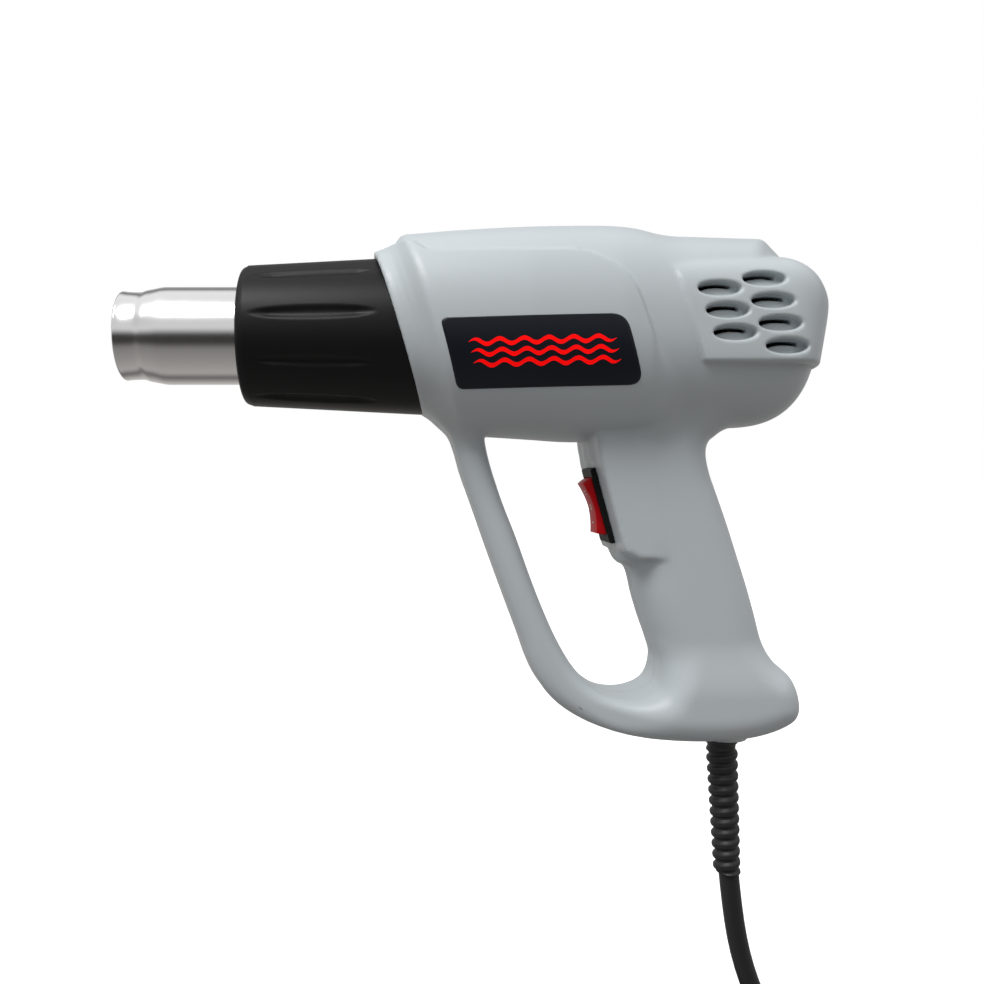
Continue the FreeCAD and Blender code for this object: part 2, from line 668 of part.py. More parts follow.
def grip_wires():
    """Insulated wires: cord to terminal block, and terminal block to the switch's tabs."""
    routes = [
        [at(12.9, -1.2, -43.6), at(11.5, -0.6, -39), at(4, 0, -36), at(2, 0, -30)],
        [at(15.2, 1.2, -43.6), at(15, 0.8, -39), at(12.6, 0, -36), at(12, 0, -30)],
        [at(2, 0, -24), at(2.2, -1, -19), at(3.5, -7, -10), at(4.5, -8.5, 2), at(4.5, -8, 12),
         at(6, -5.5, 19), at(1.6, -3.5, 21.2)],
        [at(12, 0, -24), at(11.5, 1, -19), at(7, 7, -10), at(4.5, 8.5, 2), at(4.5, 8, 12),
         at(6, 5.5, 19), at(1.6, 3.5, 21.2)],
    ]
    return Part.makeCompound([bent_tube(route, 1.1) for route in routes])


def heater_wires():
    """Two heat-proof wires from the switch, under the duct, to the heater's bracket."""
    wires = []
    for y in (-6.5, 6.5):
        route = [at(-8, y, 36), at(-20, y, 48.1), at(-40, y, 48.1), at(-68.5, y, 48.9),
                 at(-82.5, y, 60.7), at(-107, y, 61.0)]
        wires.append(bent_tube(route, 1.0))
    return Part.makeCompound(wires)


def motor_wires():
    """Two wires from the switch, up behind the motor, to the rectifier."""
    wires = []
    for side in (-1, 1):
        route = [at(-2, 7 * side, 36), at(-3, 7 * side, 47), at(4, 7.5 * side, 57),
                 at(14, 7 * side, 61.5), at(15.5, 4 * side, 66), at(14.3, 3 * side, 71)]
        wires.append(bent_tube(route, 0.9))
    return Part.makeCompound(wires)


# ---- trim -----------------------------------------------------------------------------
def side_label(side):
    """Thin printed plate on the housing's flank."""
    outline = [(-88.3, 80.0), (-31.4, 82.2), (-25.5, 59.5), (-82.5, 58.4)]
    plate = prism_y(outline, 30.0, 0.0 if side > 0 else -60.0)
    skin = motor_housing_form(-LABEL_THICK).cut(motor_housing_form(-0.02))
    return plate.common(skin)


# ---- cord -------------------------------------------------------------------------------
def cord_points():
    return [at(x, 0, z) for x, z in CORD_ROUTE]


def cord_boot():
    """Ribbed strain relief along the first stretch of the cord."""
    lean = degrees(atan2(CORD_ROUTE[2][0] - CORD_ROUTE[0][0], CORD_ROUTE[0][1] - CORD_ROUTE[2][1]))
    length = BOOT_TOP_Z - BOOT_END_Z
    top = at(0, 0, 0)
    down = V(0, 0, -1)
    core = Part.makeCone(BOOT_RIB_R - 0.9, BOOT_END_R - 0.6, length, top, down)
    flange = cylinder(at(0, 0, 1.0), down, BOOT_TOP_R + 1.2, 1.6)
    collar = cylinder(top, down, BOOT_TOP_R, 6.6)
    taper = Part.makeCone(BOOT_TOP_R, BOOT_RIB_R - 0.5, 3.4, at(0, 0, -6.6), down)
    ribs = []
    for i in range(11):
        share = i / 10
        rib_r = BOOT_RIB_R * (1 - share) + BOOT_END_R * share
        ribs.append(cylinder(at(0, 0, -12.6 - 3.9 * i), down, rib_r, 2.2))
    boot = fused([core, flange, collar, taper] + ribs)
    boot.rotate(at(0, 0, 0), V(0, 1, 0), -lean)
    boot.translate(at(14.45, 0, BOOT_TOP_Z))
    return boot.cut(mains_cord())


def mains_cord():
    return bent_tube(cord_points(), CORD_D / 2)


def coil_centre():
    """The cord meets the outer layer of the coil tangentially at its last point."""
    end = cord_points()[-1]
    run = (end - cord_points()[-2]).normalize()
    outer_r = COIL_TURN_R + CORD_D / 2
    return end + V(run.z, 0, -run.x) * outer_r


def cord_coil():
    centre = coil_centre()
    start = at(centre.x, -CORD_D / 2, centre.z)
    width = COIL_COLUMNS * CORD_D
    outer = cylinder(start, V(0, 1, 0), COIL_TURN_R + CORD_D, width)
    inner = cylinder(start, V(0, 1, 0), COIL_TURN_R - CORD_D, width)
    return outer.cut(inner)


def coil_tie():
    """Band round all the turns at the top of the coil."""
    centre = coil_centre()
    low = centre.z + COIL_TURN_R - CORD_D
    high = centre.z + COIL_TURN_R + CORD_D
    front = -CORD_D / 2
    back = front + COIL_COLUMNS * CORD_D
    outer = block(centre.x - 6, centre.x + 6, front - 1.8, back + 1.8, low - 3.2, high + 1.8)
    inner = block(centre.x - 7, centre.x + 7, front - 0.1, back + 0.1, low - 1.0, high + 0.1)
    return outer.cut(inner)


def tail_points():
    """From the coil's right-hand side, in front of the turns, down to the plug."""
    centre = coil_centre()
    x = centre.x + COIL_TURN_R - CORD_D / 2
    y = -CORD_D
    return [at(x, y - 0.2, centre.z), at(x + 0.4, y - 0.2, centre.z - 20),
            at(x + 1.6, y - 0.2, centre.z - 40)]


def cord_tail():
    return bent_tube(tail_points(), CORD_D / 2)


def plug_body():
    end = tail_points()[-1]
    down = V(0, 0, -1)
    wires = []
    for drop, half_x, half_y in ((0.0, 4.6, 4.6), (14.0, 6.5, 6.5), (22.0, 13.5, 9.5),
                                 (34.0, 17.5, 12.5), (46.0, 17.8, 13.0)):
        centre = end + down * (drop - 2)
        wires.append(ellipse_wire(centre, V(1, 0, 0), half_x, half_y))
    return lofted(wires).cut(cord_tail())


def plug_pins():
    end = tail_points()[-1]
    face = end + V(0, 0, -44.0)
    pins = []
    for side in (-1, 1):
        foot = face + V(side * PLUG_PIN_PITCH / 2, 0, 0)
        pin = cylinder(foot, V(0, 0, -1), PLUG_PIN_R, PLUG_PIN_LENGTH - 1.2)
        tip = Part.makeCone(PLUG_PIN_R, PLUG_PIN_R - 1.0, 1.2,
                            foot + V(0, 0, 1.2 - PLUG_PIN_LENGTH), V(0, 0, -1))
        pins.append(pin.fuse(tip).removeSplitter())
    return Part.makeCompound(pins)


def main():
    os.makedirs("parts", exist_ok=True)
    bent_tube(cord_points(), CORD_D / 2, "mains_cord")
    bent_tube(tail_points(), CORD_D / 2, "cord_tail")
    left, right = housing_halves()
    shapes = {"housing_left": left, "housing_right": right,
              "side_label_left": side_label(-1), "side_label_right": side_label(1)}
    makers = [housing_screws, nozzle_tube, heat_shield, outlet_grille, mica_sleeve,
              heater_former, heater_windings, heater_base, heater_bracket, heater_screws,
              thermal_fuse, air_duct, fan_impeller, motor_shaft, motor_bearings, motor_can,
              motor_end_cap, motor_magnets, motor_armature, armature_windings, commutator,
              motor_brushes, motor_mount, motor_screws, rectifier_board, rectifier_diodes,
              switch_body, switch_rocker, switch_terminals, capacitor, terminal_block,
              cord_clamp, cord_clamp_screws, grip_wires, heater_wires, motor_wires,
              cord_boot, mains_cord, cord_coil, coil_tie, cord_tail, plug_body, plug_pins]
    for maker in makers:
        shapes[maker.__name__] = maker()
    for name, shape in shapes.items():
        shape.exportStep("parts/%s.step" % name)
        box = shape.BoundBox
        print("%-18s solids %2d valid %s volume %9.1f box %s" % (
            name, len(shape.Solids), shape.isValid(), shape.Volume,
            ["%.1f" % v for v in (box.XMin, box.XMax, box.YMin, box.YMax, box.ZMin, box.ZMax)]))


main()
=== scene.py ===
"""Looks of a pistol-grip heat gun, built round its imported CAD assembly.

The grey clamshell, the fluted heat shield, the rocker, the label, the cord and its boot are
modelled here in millimetres and put in the frame in metres. Everything else is the CAD's own
mesh with a finish. The left half of the clamshell is at -Y and the right half, with the
screws, at +Y. +X is the rear of the tool and the hot air leaves along -X.
"""

import json
from math import atan2, cos, degrees, hypot, pi, radians, sin, sqrt

import bmesh
import bpy
import numpy as np
from mathutils import Matrix, Vector


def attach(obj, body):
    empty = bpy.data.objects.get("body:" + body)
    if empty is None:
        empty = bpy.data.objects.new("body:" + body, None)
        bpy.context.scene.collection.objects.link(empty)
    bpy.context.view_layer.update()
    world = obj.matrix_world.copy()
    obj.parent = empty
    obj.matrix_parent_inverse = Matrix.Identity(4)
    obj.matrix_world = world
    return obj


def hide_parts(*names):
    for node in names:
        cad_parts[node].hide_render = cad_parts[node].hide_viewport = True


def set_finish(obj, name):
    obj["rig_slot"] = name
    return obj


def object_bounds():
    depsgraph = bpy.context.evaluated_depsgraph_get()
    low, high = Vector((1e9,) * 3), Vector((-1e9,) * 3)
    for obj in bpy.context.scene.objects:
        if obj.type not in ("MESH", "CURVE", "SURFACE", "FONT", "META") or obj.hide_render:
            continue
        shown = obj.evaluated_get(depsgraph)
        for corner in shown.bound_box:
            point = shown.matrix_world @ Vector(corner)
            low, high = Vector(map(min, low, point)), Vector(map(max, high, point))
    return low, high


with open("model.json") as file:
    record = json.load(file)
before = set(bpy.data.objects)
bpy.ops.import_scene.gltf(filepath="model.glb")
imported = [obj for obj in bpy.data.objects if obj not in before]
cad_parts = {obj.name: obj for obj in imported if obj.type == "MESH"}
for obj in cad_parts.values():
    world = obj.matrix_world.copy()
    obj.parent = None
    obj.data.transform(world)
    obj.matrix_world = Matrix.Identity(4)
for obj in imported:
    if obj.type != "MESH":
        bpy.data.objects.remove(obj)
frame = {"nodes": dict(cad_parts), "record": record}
cad_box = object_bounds()
nodes = frame["nodes"]

MM = 0.001

# ---- sizes in millimetres ------------------------------------------------------
AXIS_Z = 81.5            # height of the air axis
WALL = 3.1               # thicker than the real 2.4, so that both faces stay apart in the mesh
MOUTH_X = -102.8         # the clamshell's mouth on the axis
MOUTH_LEAN = 16.9        # degrees, the mouth's top towards -X
SEAM_GAP = 0.06          # each half stops this far from the middle plane
COLLAR_BORE_R = 25.8     # hole in the mouth for the shield's collar
COLLAR_END_X = -83.5
BOOT_HOLE_X = 14.7
BOOT_HOLE_R = 6.8
BOOT_COLLAR_X = 14.9     # the base's short collar round the boot
BOOT_COLLAR_R = 8.4
BOOT_COLLAR_END_Z = -63.9
LABEL_LIFT = 0.35
GRID = 0.6               # spacing of the field's samples where detail is fine

SWITCH_LEAN = 15.0       # degrees
SWITCH_X = -31.1         # middle of the switch's opening, in the block's face
SWITCH_Z = 19.7
SWITCH_HALF_HEIGHT = 12.2
SWITCH_HALF_WIDTH = 6.8
FACET_HALF_HEIGHT = 16.5         # of the flat that the bezel lies on
BEZEL_THICK = 1.8
ROCKER_R = 10.8
ROCKER_PIVOT_DEPTH = 2.5
ROCKER_RISE = 3.2
ROCKER_DIP = 1.6
ROCKER_HALF_WIDTH = 5.0

BOOT_LENGTH = 55.4
RIB_PITCH = 3.9          # of the boot's spiral rib
RIB_RISE = 0.95
CORD_D = 7.0
CORD_ROUTE = [(14.1, -44.0), (14.9, -79.0), (17.2, -116.0), (21.5, -146.0), (32.5, -171.0),
              (48.0, -189.0)]
COIL_X = 17.7
COIL_Z = -215.1
COIL_OUTER_R = 40.0
COIL_INNER_R = 33.0
COIL_TURNS_OUT = 4.0
COIL_STEP_Y = 7.0
COIL_JOIN = 40.7         # degrees round the coil where the cord meets and leaves it
TAIL_Y = -7.2
TAIL_POINTS = [(51.1, -235.1), (52.3, -255.1)]

# Housing screws as x, z and how far out from the seam their heads are.
SCREWS = [(-72.0, 113.4, 7.0), (12.0, 110.0, 7.0), (-80.0, 47.5, 7.0), (18.0, 53.5, 9.0),
          (10.5, 6.0, 7.5), (29.5, -50.0, 9.0), (-38.0, -50.0, 5.0)]
SCREW_RECESS_R = 3.5
SCREW_BOSS_R = 5.4


# ---- camera ----------------------------------------------------------------------
def make_camera():
    """A close view square on to the gun's left side, with the lens shifted towards the rear."""
    data = bpy.data.cameras.new("camera")
    data.sensor_width = 36.0
    data.lens = 31.24
    data.shift_x = 0.1019
    data.shift_y = -0.0148
    data.clip_start = 0.01
    data.clip_end = 100.0
    camera = bpy.data.objects.new("camera", data)
    camera.location = (-0.105, -0.310, 0.030)
    camera.rotation_euler = (radians(90), 0, 0)
    bpy.context.scene.collection.objects.link(camera)
    bpy.context.scene.camera = camera


make_camera()


# ---- small helpers ---------------------------------------------------------------
def new_object(name, data, node_slot, body="gun"):
    """Link a mesh or curve, ride it on a body and name its material slot."""
    piece = bpy.data.objects.new(name, data)
    bpy.context.scene.collection.objects.link(piece)
    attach(piece, body)
    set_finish(piece, node_slot)
    return piece


def mesh_from(name, points, faces, smooth=True):
    """A mesh from points in millimetres."""
    mesh = bpy.data.meshes.new(name)
    mesh.from_pydata([tuple(p) for p in np.asarray(points, float) * MM], [], faces)
    mesh.validate()
    if smooth:
        mesh.polygons.foreach_set("use_smooth", [True] * len(mesh.polygons))
    return mesh


def quads_between(rings, count, closed=False):
    """Quads from each ring of points to the next, and from the last to the first if closed."""
    faces = []
    for i in range(rings if closed else rings - 1):
        j = (i + 1) % rings
        for k in range(count):
            m = (k + 1) % count
            faces.append((i * count + k, i * count + m, j * count + m, j * count + k))
    return faces


def smoothstep(value, low, high):
    t = np.clip((value - low) / (high - low), 0, 1)
    return t * t * (3 - 2 * t)


def soft_max(a, b, k):
    """The larger of a and b, rounded over a distance k where they meet."""
    h = np.clip(k - np.abs(a - b), 0, None) / k
    return np.maximum(a, b) + h * h * k * 0.25


def soft_min(a, b, k):
    return -soft_max(-a, -b, k)


def smooth_curve(points, closed=True, steps=6):
    """Points along a Catmull-Rom curve through the given ones."""
    p = np.asarray(points, float)
    n = len(p)
    out = []
    for i in range(n if closed else n - 1):
        if closed:
            a, b, c, d = p[i - 1], p[i], p[(i + 1) % n], p[(i + 2) % n]
        else:
            a, b, c, d = p[max(i - 1, 0)], p[i], p[i + 1], p[min(i + 2, n - 1)]
        for t in np.arange(steps) / steps:
            out.append(0.5 * (2 * b + (c - a) * t + (2 * a - 5 * b + 4 * c - d) * t ** 2
                              + (3 * b - a - 3 * c + d) * t ** 3))
    if not closed:
        out.append(p[-1])
    return np.array(out)


def loop_distance(x, z, loop):
    """Signed distance from points to a closed outline in the XZ plane, negative inside."""
    best = np.full(x.shape, 1e9)
    inside = np.zeros(x.shape, bool)
    for (ax, az), (bx, bz) in zip(loop, np.roll(loop, -1, axis=0)):
        ex = bx - ax
        ez = bz - az
        t = np.clip(((x - ax) * ex + (z - az) * ez) / (ex * ex + ez * ez + 1e-12), 0, 1)
        best = np.minimum(best, (x - ax - t * ex) ** 2 + (z - az - t * ez) ** 2)
        if abs(ez) > 1e-9:
            crosses = (az > z) != (bz > z)
            inside ^= crosses & (x < ex * (z - az) / ez + ax)
    return np.where(inside, -1.0, 1.0) * np.sqrt(best)


def ellipse_distance(x, z, a, b):
    """Approximate signed distance to an ellipse centred on the origin."""
    k0 = np.hypot(x / a, z / b) + 1e-9
    k1 = np.hypot(x / a ** 2, z / b ** 2) + 1e-9
    return k0 * (k0 - 1) / k1


# ---- the clamshell as a distance field ----------------------------------------------
# Top and bottom lines of the motor housing in the middle plane, as (x, z).
TOP_LINE = smooth_curve([(-130, 114.0), (-112, 115.3), (-98, 116.3), (-80, 117.7), (-58, 118.8),
                         (-38, 119.2), (-27, 119.0), (-20, 118.2), (-14, 116.7), (-8, 115.7),
                         (0, 115.4), (14, 115.0), (26, 114.6), (60, 113.0)], closed=False)
BOTTOM_LINE = smooth_curve([(-130, 51.0), (-95, 48.2), (-80, 47.2), (-69, 46.7), (-55, 45.8),
                            (-40, 44.9), (-20, 45.5), (0, 47.5), (18, 47.9), (60, 47.8)],
                           closed=False)
HALF_WIDTHS = np.array([(-130, 34.2), (-100, 35.4), (-60, 37.0), (-30, 36.6), (-5, 34.2),
                        (15, 33.2), (60, 32.5)])
# How much the housing narrows towards its mouth, as (distance behind the mouth, drop).
FLARE = np.array([(-5, 7.3), (0, 7.2), (2, 6.7), (4.5, 5.6), (7, 3.8), (8.8, 2.0), (10.2, 0.6),
                  (12.0, 0), (60, 0)])
ROUNDNESS = 2.25         # exponent of the housing's section, 2 being an ellipse

CHEEK_TOP = 104.6        # height of the raised cheek's upper edge
CHEEK_CORNER_R = 15.0
CHEEK_RISE = 2.1
TAIL_START_X = 12.0      # the rear rounds off from here
TAIL_LENGTH = 30.6
SLANT_POINT = (27.4, 114.6)      # the spine ends in a slanted face through this point
SLANT_NORMAL = (0.73, 0.683)

CAP_MIDDLE_Z = 79.7      # the rear cap with the vents
CAP_HALF_WIDTH = 38.6
CAP_HALF_HEIGHT = 27.2
CAP_BOTTOM_Z = 67.4
CAP_ROUND_X = 25.0       # its rear end is rounded from here, by CAP_REACH at CAP_REACH_Z
CAP_REACH = 21.9
CAP_REACH_Z = 88.0

# The handle, the guard in front of the fingers and the foot, seen from the side.
OUTLINE = [(-90.5, 58), (-88.4, 51), (-84.8, 46), (-82.4, 39.5), (-80.0, 31), (-74.9, 16.5),
           (-69.8, 2), (-64.5, -12.5), (-59.1, -27), (-56.3, -35), (-52.8, -42.3), (-47.7, -48.8),
           (-41.2, -53.7), (-33, -57.5), (-22, -60.3), (-6, -62.1), (8, -62.3), (19, -61.3),
           (28, -59.0), (34.6, -55.6), (37.0, -51.5), (36.7, -46), (34.4, -39.6), (29.4, -34.4),
           (26.3, -27.8), (23.5, -17), (21.0, -8), (17.9, 2), (14.6, 12.5), (10.9, 23.4),
           (8.2, 31), (6.8, 38), (7.6, 42.5), (10, 46), (12, 52), (10, 62), (-40, 66), (-80, 64)]
OPENING = [(-72.2, 44), (-73.0, 52), (-72, 60), (-52, 60), (-38, 60), (-35.6, 52), (-34.6, 42),
           (-33.2, 32), (-25, 3), (-19.6, -3), (-17.1, -12.5), (-14.9, -20), (-12.1, -28),
           (-9.6, -35.8), (-11.2, -43.9), (-18.8, -47.5), (-27.8, -47.0), (-34.7, -43.5),
           (-41.1, -36.6), (-46.7, -27), (-51.5, -16.3), (-55.9, -5), (-60.9, 9), (-65.4, 20.5),
           (-69.6, 33)]
SWITCH_BLOCK = np.array([(-35.7, 52.0), (-33.0, 35.2), (-24.8, 4.3), (-19.8, 1.6), (-9.0, 1.2),
                         (-17.0, 52.0)])
BLOCK_HALF_WIDTH = 17.9
GUARD_HALF_WIDTH = 11.0
GRIP_EXTRA = 6.0         # how much wider the grip and the foot are than the guard
FOOT_EXTRA = 2.6

# Middles of the ovals, in two slanted columns, as (x, z).
VENTS = [(1.0 + 2.45 * i, 91.2 - 7.2 * i) for i in range(3)]
VENTS += [(15.7 + 2.4 * i, 94.4 - 7.3 * i) for i in range(4)]
VENT_HALF_LENGTH = 7.0
VENT_HALF_HEIGHT = 2.4
VENT_DEPTH = 2.3


def body_sections(x, grow):
    """Mid height, half height and half width of the motor housing at x."""
    top = np.interp(x, TOP_LINE[:, 0], TOP_LINE[:, 1])
    bottom = np.interp(x, BOTTOM_LINE[:, 0], BOTTOM_LINE[:, 1])
    half_width = np.interp(x, HALF_WIDTHS[:, 0], HALF_WIDTHS[:, 1])
    return (top + bottom) / 2, (top - bottom) / 2 + grow, half_width + grow


def mouth_distance(x, z):
    """How far a point is behind the slanted plane of the clamshell's mouth."""
    lean = radians(MOUTH_LEAN)
    return (x - MOUTH_X) * cos(lean) + (z - AXIS_Z) * sin(lean)


def barrel_field(x, y, z):
    """The motor housing, its flared mouth, the raised cheek and the rear's slanted end."""
    flare = -np.interp(mouth_distance(x, z), FLARE[:, 0], FLARE[:, 1])
    across = (x + 24.6) * 0.942 + (z - 86.3) * 0.337 + CHEEK_CORNER_R
    over = z - CHEEK_TOP - 5.5 * smoothstep(-x, 92, 101) + CHEEK_CORNER_R
    round_corner = np.hypot(np.clip(across, 0, None), np.clip(over, 0, None))
    cheek = round_corner + np.minimum(np.maximum(across, over), 0) - CHEEK_CORNER_R
    soft = 0.85 + 6.0 * (1 - smoothstep(z, 55, 78))
    raised = CHEEK_RISE * (1 - smoothstep(cheek, -soft, soft))
    middle, half_height, half_width = body_sections(x, raised + flare)
    tail = (np.clip(x - TAIL_START_X, 0, None) / TAIL_LENGTH) ** 3.6
    tail = tail * (1 - smoothstep(z, 90, 108))
    share = (np.abs(y / half_width) ** ROUNDNESS + np.abs((z - middle) / half_height) ** ROUNDNESS
             + tail) ** (1 / ROUNDNESS)
    field = (share - 1) * np.minimum(half_width, half_height)
    slant = ((x - SLANT_POINT[0] + 0.03 * y ** 2) * SLANT_NORMAL[0]
             + (z - SLANT_POINT[1]) * SLANT_NORMAL[1])
    field = soft_max(field, slant / np.sqrt(1 + (0.044 * y) ** 2), 1.2)
    return soft_max(field, x - 36 - 14 * (1 - smoothstep(z, 84, 98)), 1.5)


def cap_field(x, y, z):
    """The proud rear cap that carries the vents on both sides."""
    share = (np.abs(y / CAP_HALF_WIDTH) ** 3
             + np.abs((z - CAP_MIDDLE_Z) / CAP_HALF_HEIGHT) ** 3) ** (1 / 3)
    section = (share - 1) * CAP_HALF_HEIGHT
    above = z - CAP_REACH_Z
    shorter = np.where(above < 0, 0.24 * (np.hypot(above, 4) - 4), 0.062 * above ** 2)
    reach = np.maximum(CAP_REACH - shorter, 5.0)
    rear = (np.hypot(np.clip(x - CAP_ROUND_X, 0, None) / reach, y / 36.0) - 1) * reach
    front = (-12.8 - x) * 0.955 - (z - 97.0) * 0.30
    field = soft_max(soft_max(section, rear, 5.0), front, 1.4)
    return soft_max(field, CAP_BOTTOM_Z - z, 1.2)


def rounded_plate(flat, thick, edge):
    """A flat outline given thickness, with its edges rounded to a radius."""
    a = flat + edge
    b = thick + edge
    return np.minimum(np.maximum(a, b), 0) + np.hypot(np.clip(a, 0, None),
                                                      np.clip(b, 0, None)) - edge


def lower_field(x, y, z, flat):
    """Handle, guard and foot: the side outline with rounded edges; flat is its distance."""
    toward_grip = smoothstep(x + 0.33 * z, -50, -22)
    toward_foot = smoothstep(-z, 26, 46) * smoothstep(x, -45, -12)
    half_width = GUARD_HALF_WIDTH + GRIP_EXTRA * toward_grip + FOOT_EXTRA * toward_foot
    half_width = half_width + GRIP_EXTRA * smoothstep(z, 38, 56) * (1 - toward_grip)
    edge = 5.6 + 8.0 * toward_grip - 4.0 * toward_foot
    return rounded_plate(flat, np.abs(y) - half_width, edge)


def block_field(x, y, z, flat):
    """The flat-faced block that holds the switch; its sides run out into the grip."""
    behind = np.clip(x + 24.6 + 0.266 * (z - 3.6), 0, None)
    return rounded_plate(flat, np.abs(y) - BLOCK_HALF_WIDTH + 0.075 * behind, 1.6)


def vent_fields(x, z):
    """Distance to the nearest oval, and to the open slit along its top."""
    oval = np.full(x.shape, 50.0)
    slit = np.full(x.shape, 50.0)
    for cx, cz in VENTS:
        dx = x - cx
        dz = z - cz
        one = ellipse_distance(dx, dz, VENT_HALF_LENGTH, VENT_HALF_HEIGHT)
        lower = ellipse_distance(dx - 0.2, dz + 1.7, VENT_HALF_LENGTH - 0.4, VENT_HALF_HEIGHT)
        oval = np.minimum(oval, one)
        slit = np.minimum(slit, np.maximum(np.maximum(one + 0.45, -lower), dx - 4.6))
    return oval, slit


def outer_field(x, y, z, flat, block):
    """Outside of the whole clamshell, with the boot's collar, before its openings are cut."""
    field = soft_min(barrel_field(x, y, z), cap_field(x, y, z), 0.5)
    blend = 2.2 + 5.3 * smoothstep(np.abs(x + 48), 24, 40)
    field = soft_min(field, lower_field(x, y, z, flat), blend)
    field = soft_min(field, block_field(x, y, z, block), 1.2)
    ring = np.maximum(np.hypot(x - BOOT_COLLAR_X, y) - BOOT_COLLAR_R,
                      np.maximum(BOOT_COLLAR_END_Z - z, z + 50))
    return soft_min(field, ring, 1.6)


def shell_field(x, y, z, flat, block, with_screws):
    """Solid where negative: outside skin less the inside, vents, mouth and screw pockets."""
    outer = outer_field(x, y, z, flat, block)
    oval, slit = vent_fields(x, z)
    on_side = np.abs(y) > 22
    pad = np.where(on_side, 2.0 * (1 - smoothstep(oval, 0.0, 1.5)), 0.0)
    field = soft_max(outer, -(outer + WALL + pad), 0.6)
    pocket = soft_max(oval, -outer - VENT_DEPTH, 0.8)
    field = np.where(on_side, np.maximum(soft_max(field, -pocket, 0.9), -slit), field)
    field = soft_max(field, -mouth_distance(x, z) - 0.15, 0.8)
    bore = np.hypot(y, z - AXIS_Z) - COLLAR_BORE_R
    field = np.maximum(field, -np.maximum(bore, x - COLLAR_END_X))
    boot_hole = np.maximum(np.hypot(x - BOOT_HOLE_X, y) - BOOT_HOLE_R, z + 56.0)
    field = np.maximum(field, -boot_hole)
    lean = radians(SWITCH_LEAN)
    switch_x = (x - SWITCH_X) * cos(lean) + (z - SWITCH_Z) * sin(lean)
    switch_z = (z - SWITCH_Z) * cos(lean) - (x - SWITCH_X) * sin(lean)
    before_face = np.maximum(-8.0 - switch_x, np.abs(switch_z) - FACET_HALF_HEIGHT)
    facet = np.maximum(before_face, switch_x - BEZEL_THICK)
    field = soft_max(field, -facet, 0.6)
    window = np.maximum(np.maximum(np.abs(switch_z) - SWITCH_HALF_HEIGHT,
                                   np.abs(y) - SWITCH_HALF_WIDTH),
                        np.abs(switch_x - 2.0) - 10.0)
    field = np.maximum(field, -window)
    if with_screws:
        for sx, sz, head in SCREWS:
            radius = np.hypot(x - sx, z - sz)
            boss = np.maximum(np.maximum(radius - SCREW_BOSS_R, head - 3.0 - y), outer + 0.3)
            field = np.minimum(field, boss)
            pocket = np.maximum(radius - SCREW_RECESS_R, head - 1.6 - y)
            field = soft_max(field, -pocket, 0.5)
    return field


def spaced(low, high, coarse, fine, fine_low, fine_high):
    """Sample places that are closer together in one stretch."""
    places = [low]
    while places[-1] < high:
        away = max(fine_low - places[-1], places[-1] - fine_high, 0.0)
        places.append(places[-1] + fine + (coarse - fine) * min(away / 6.0, 1.0))
    return np.array(places)


def surface_nets(field, axes):
    """Points and quads along the zero level of a sampled field."""
    shape = np.array(field.shape) - 1
    total = np.zeros((3,) + tuple(shape), np.float32)
    count = np.zeros(tuple(shape), np.int16)
    inside = field < 0
    found = []
    for axis in range(3):
        first = [slice(None)] * 3
        second = [slice(None)] * 3
        first[axis] = slice(0, -1)
        second[axis] = slice(1, None)
        a = field[tuple(first)]
        b = field[tuple(second)]
        sign = inside[tuple(first)] != inside[tuple(second)]
        index = np.argwhere(sign)
        along = a[sign] / (a[sign] - b[sign])
        u, v = [k for k in range(3) if k != axis]
        keep = ((index[:, u] > 0) & (index[:, u] < shape[u])
                & (index[:, v] > 0) & (index[:, v] < shape[v]))
        found.append((axis, index[keep], inside[tuple(first)][sign][keep]))
        for du in (0, 1):
            for dv in (0, 1):
                cell = index.copy()
                cell[:, u] -= du
                cell[:, v] -= dv
                good = ((cell[:, u] >= 0) & (cell[:, u] < shape[u])
                        & (cell[:, v] >= 0) & (cell[:, v] < shape[v]))
                where = tuple(cell[good].T)
                np.add.at(count, where, 1)
                for k in range(3):
                    value = index[good][:, k] + (along[good] if k == axis else 0.0)
                    np.add.at(total[k], where, value)
    used = count > 0
    number = np.full(tuple(shape), -1, np.int64)
    number[used] = np.arange(used.sum())
    points = np.stack([np.interp(total[k][used] / count[used], np.arange(len(axes[k])), axes[k])
                       for k in range(3)], axis=1)
    quads = []
    for axis, index, starts_inside in found:
        u, v = [k for k in range(3) if k != axis]
        if axis == 1:
            u, v = v, u
        ring = []
        for du, dv in ((1, 1), (0, 1), (0, 0), (1, 0)):
            cell = index.copy()
            cell[:, u] -= du
            cell[:, v] -= dv
            ring.append(number[tuple(cell.T)])
        ring = np.stack(ring, axis=1)
        ring[~starts_inside] = ring[~starts_inside][:, ::-1]
        quads.append(ring)
    return points, np.concatenate(quads)


OUTLINE_LOOP = smooth_curve(OUTLINE)
OPENING_LOOP = smooth_curve(OPENING)


def flat_distances(x, z):
    """Side-view distances of the lower part and of the switch block."""
    flat = np.full(x.shape, 40.0)
    block = np.full(x.shape, 40.0)
    low = z < 78
    outline = loop_distance(x[low], z[low], OUTLINE_LOOP)
    opening = loop_distance(x[low], z[low], OPENING_LOOP)
    flat[low] = soft_max(outline, -opening, 1.0)
    block[low] = loop_distance(x[low], z[low], SWITCH_BLOCK)
    return flat, block


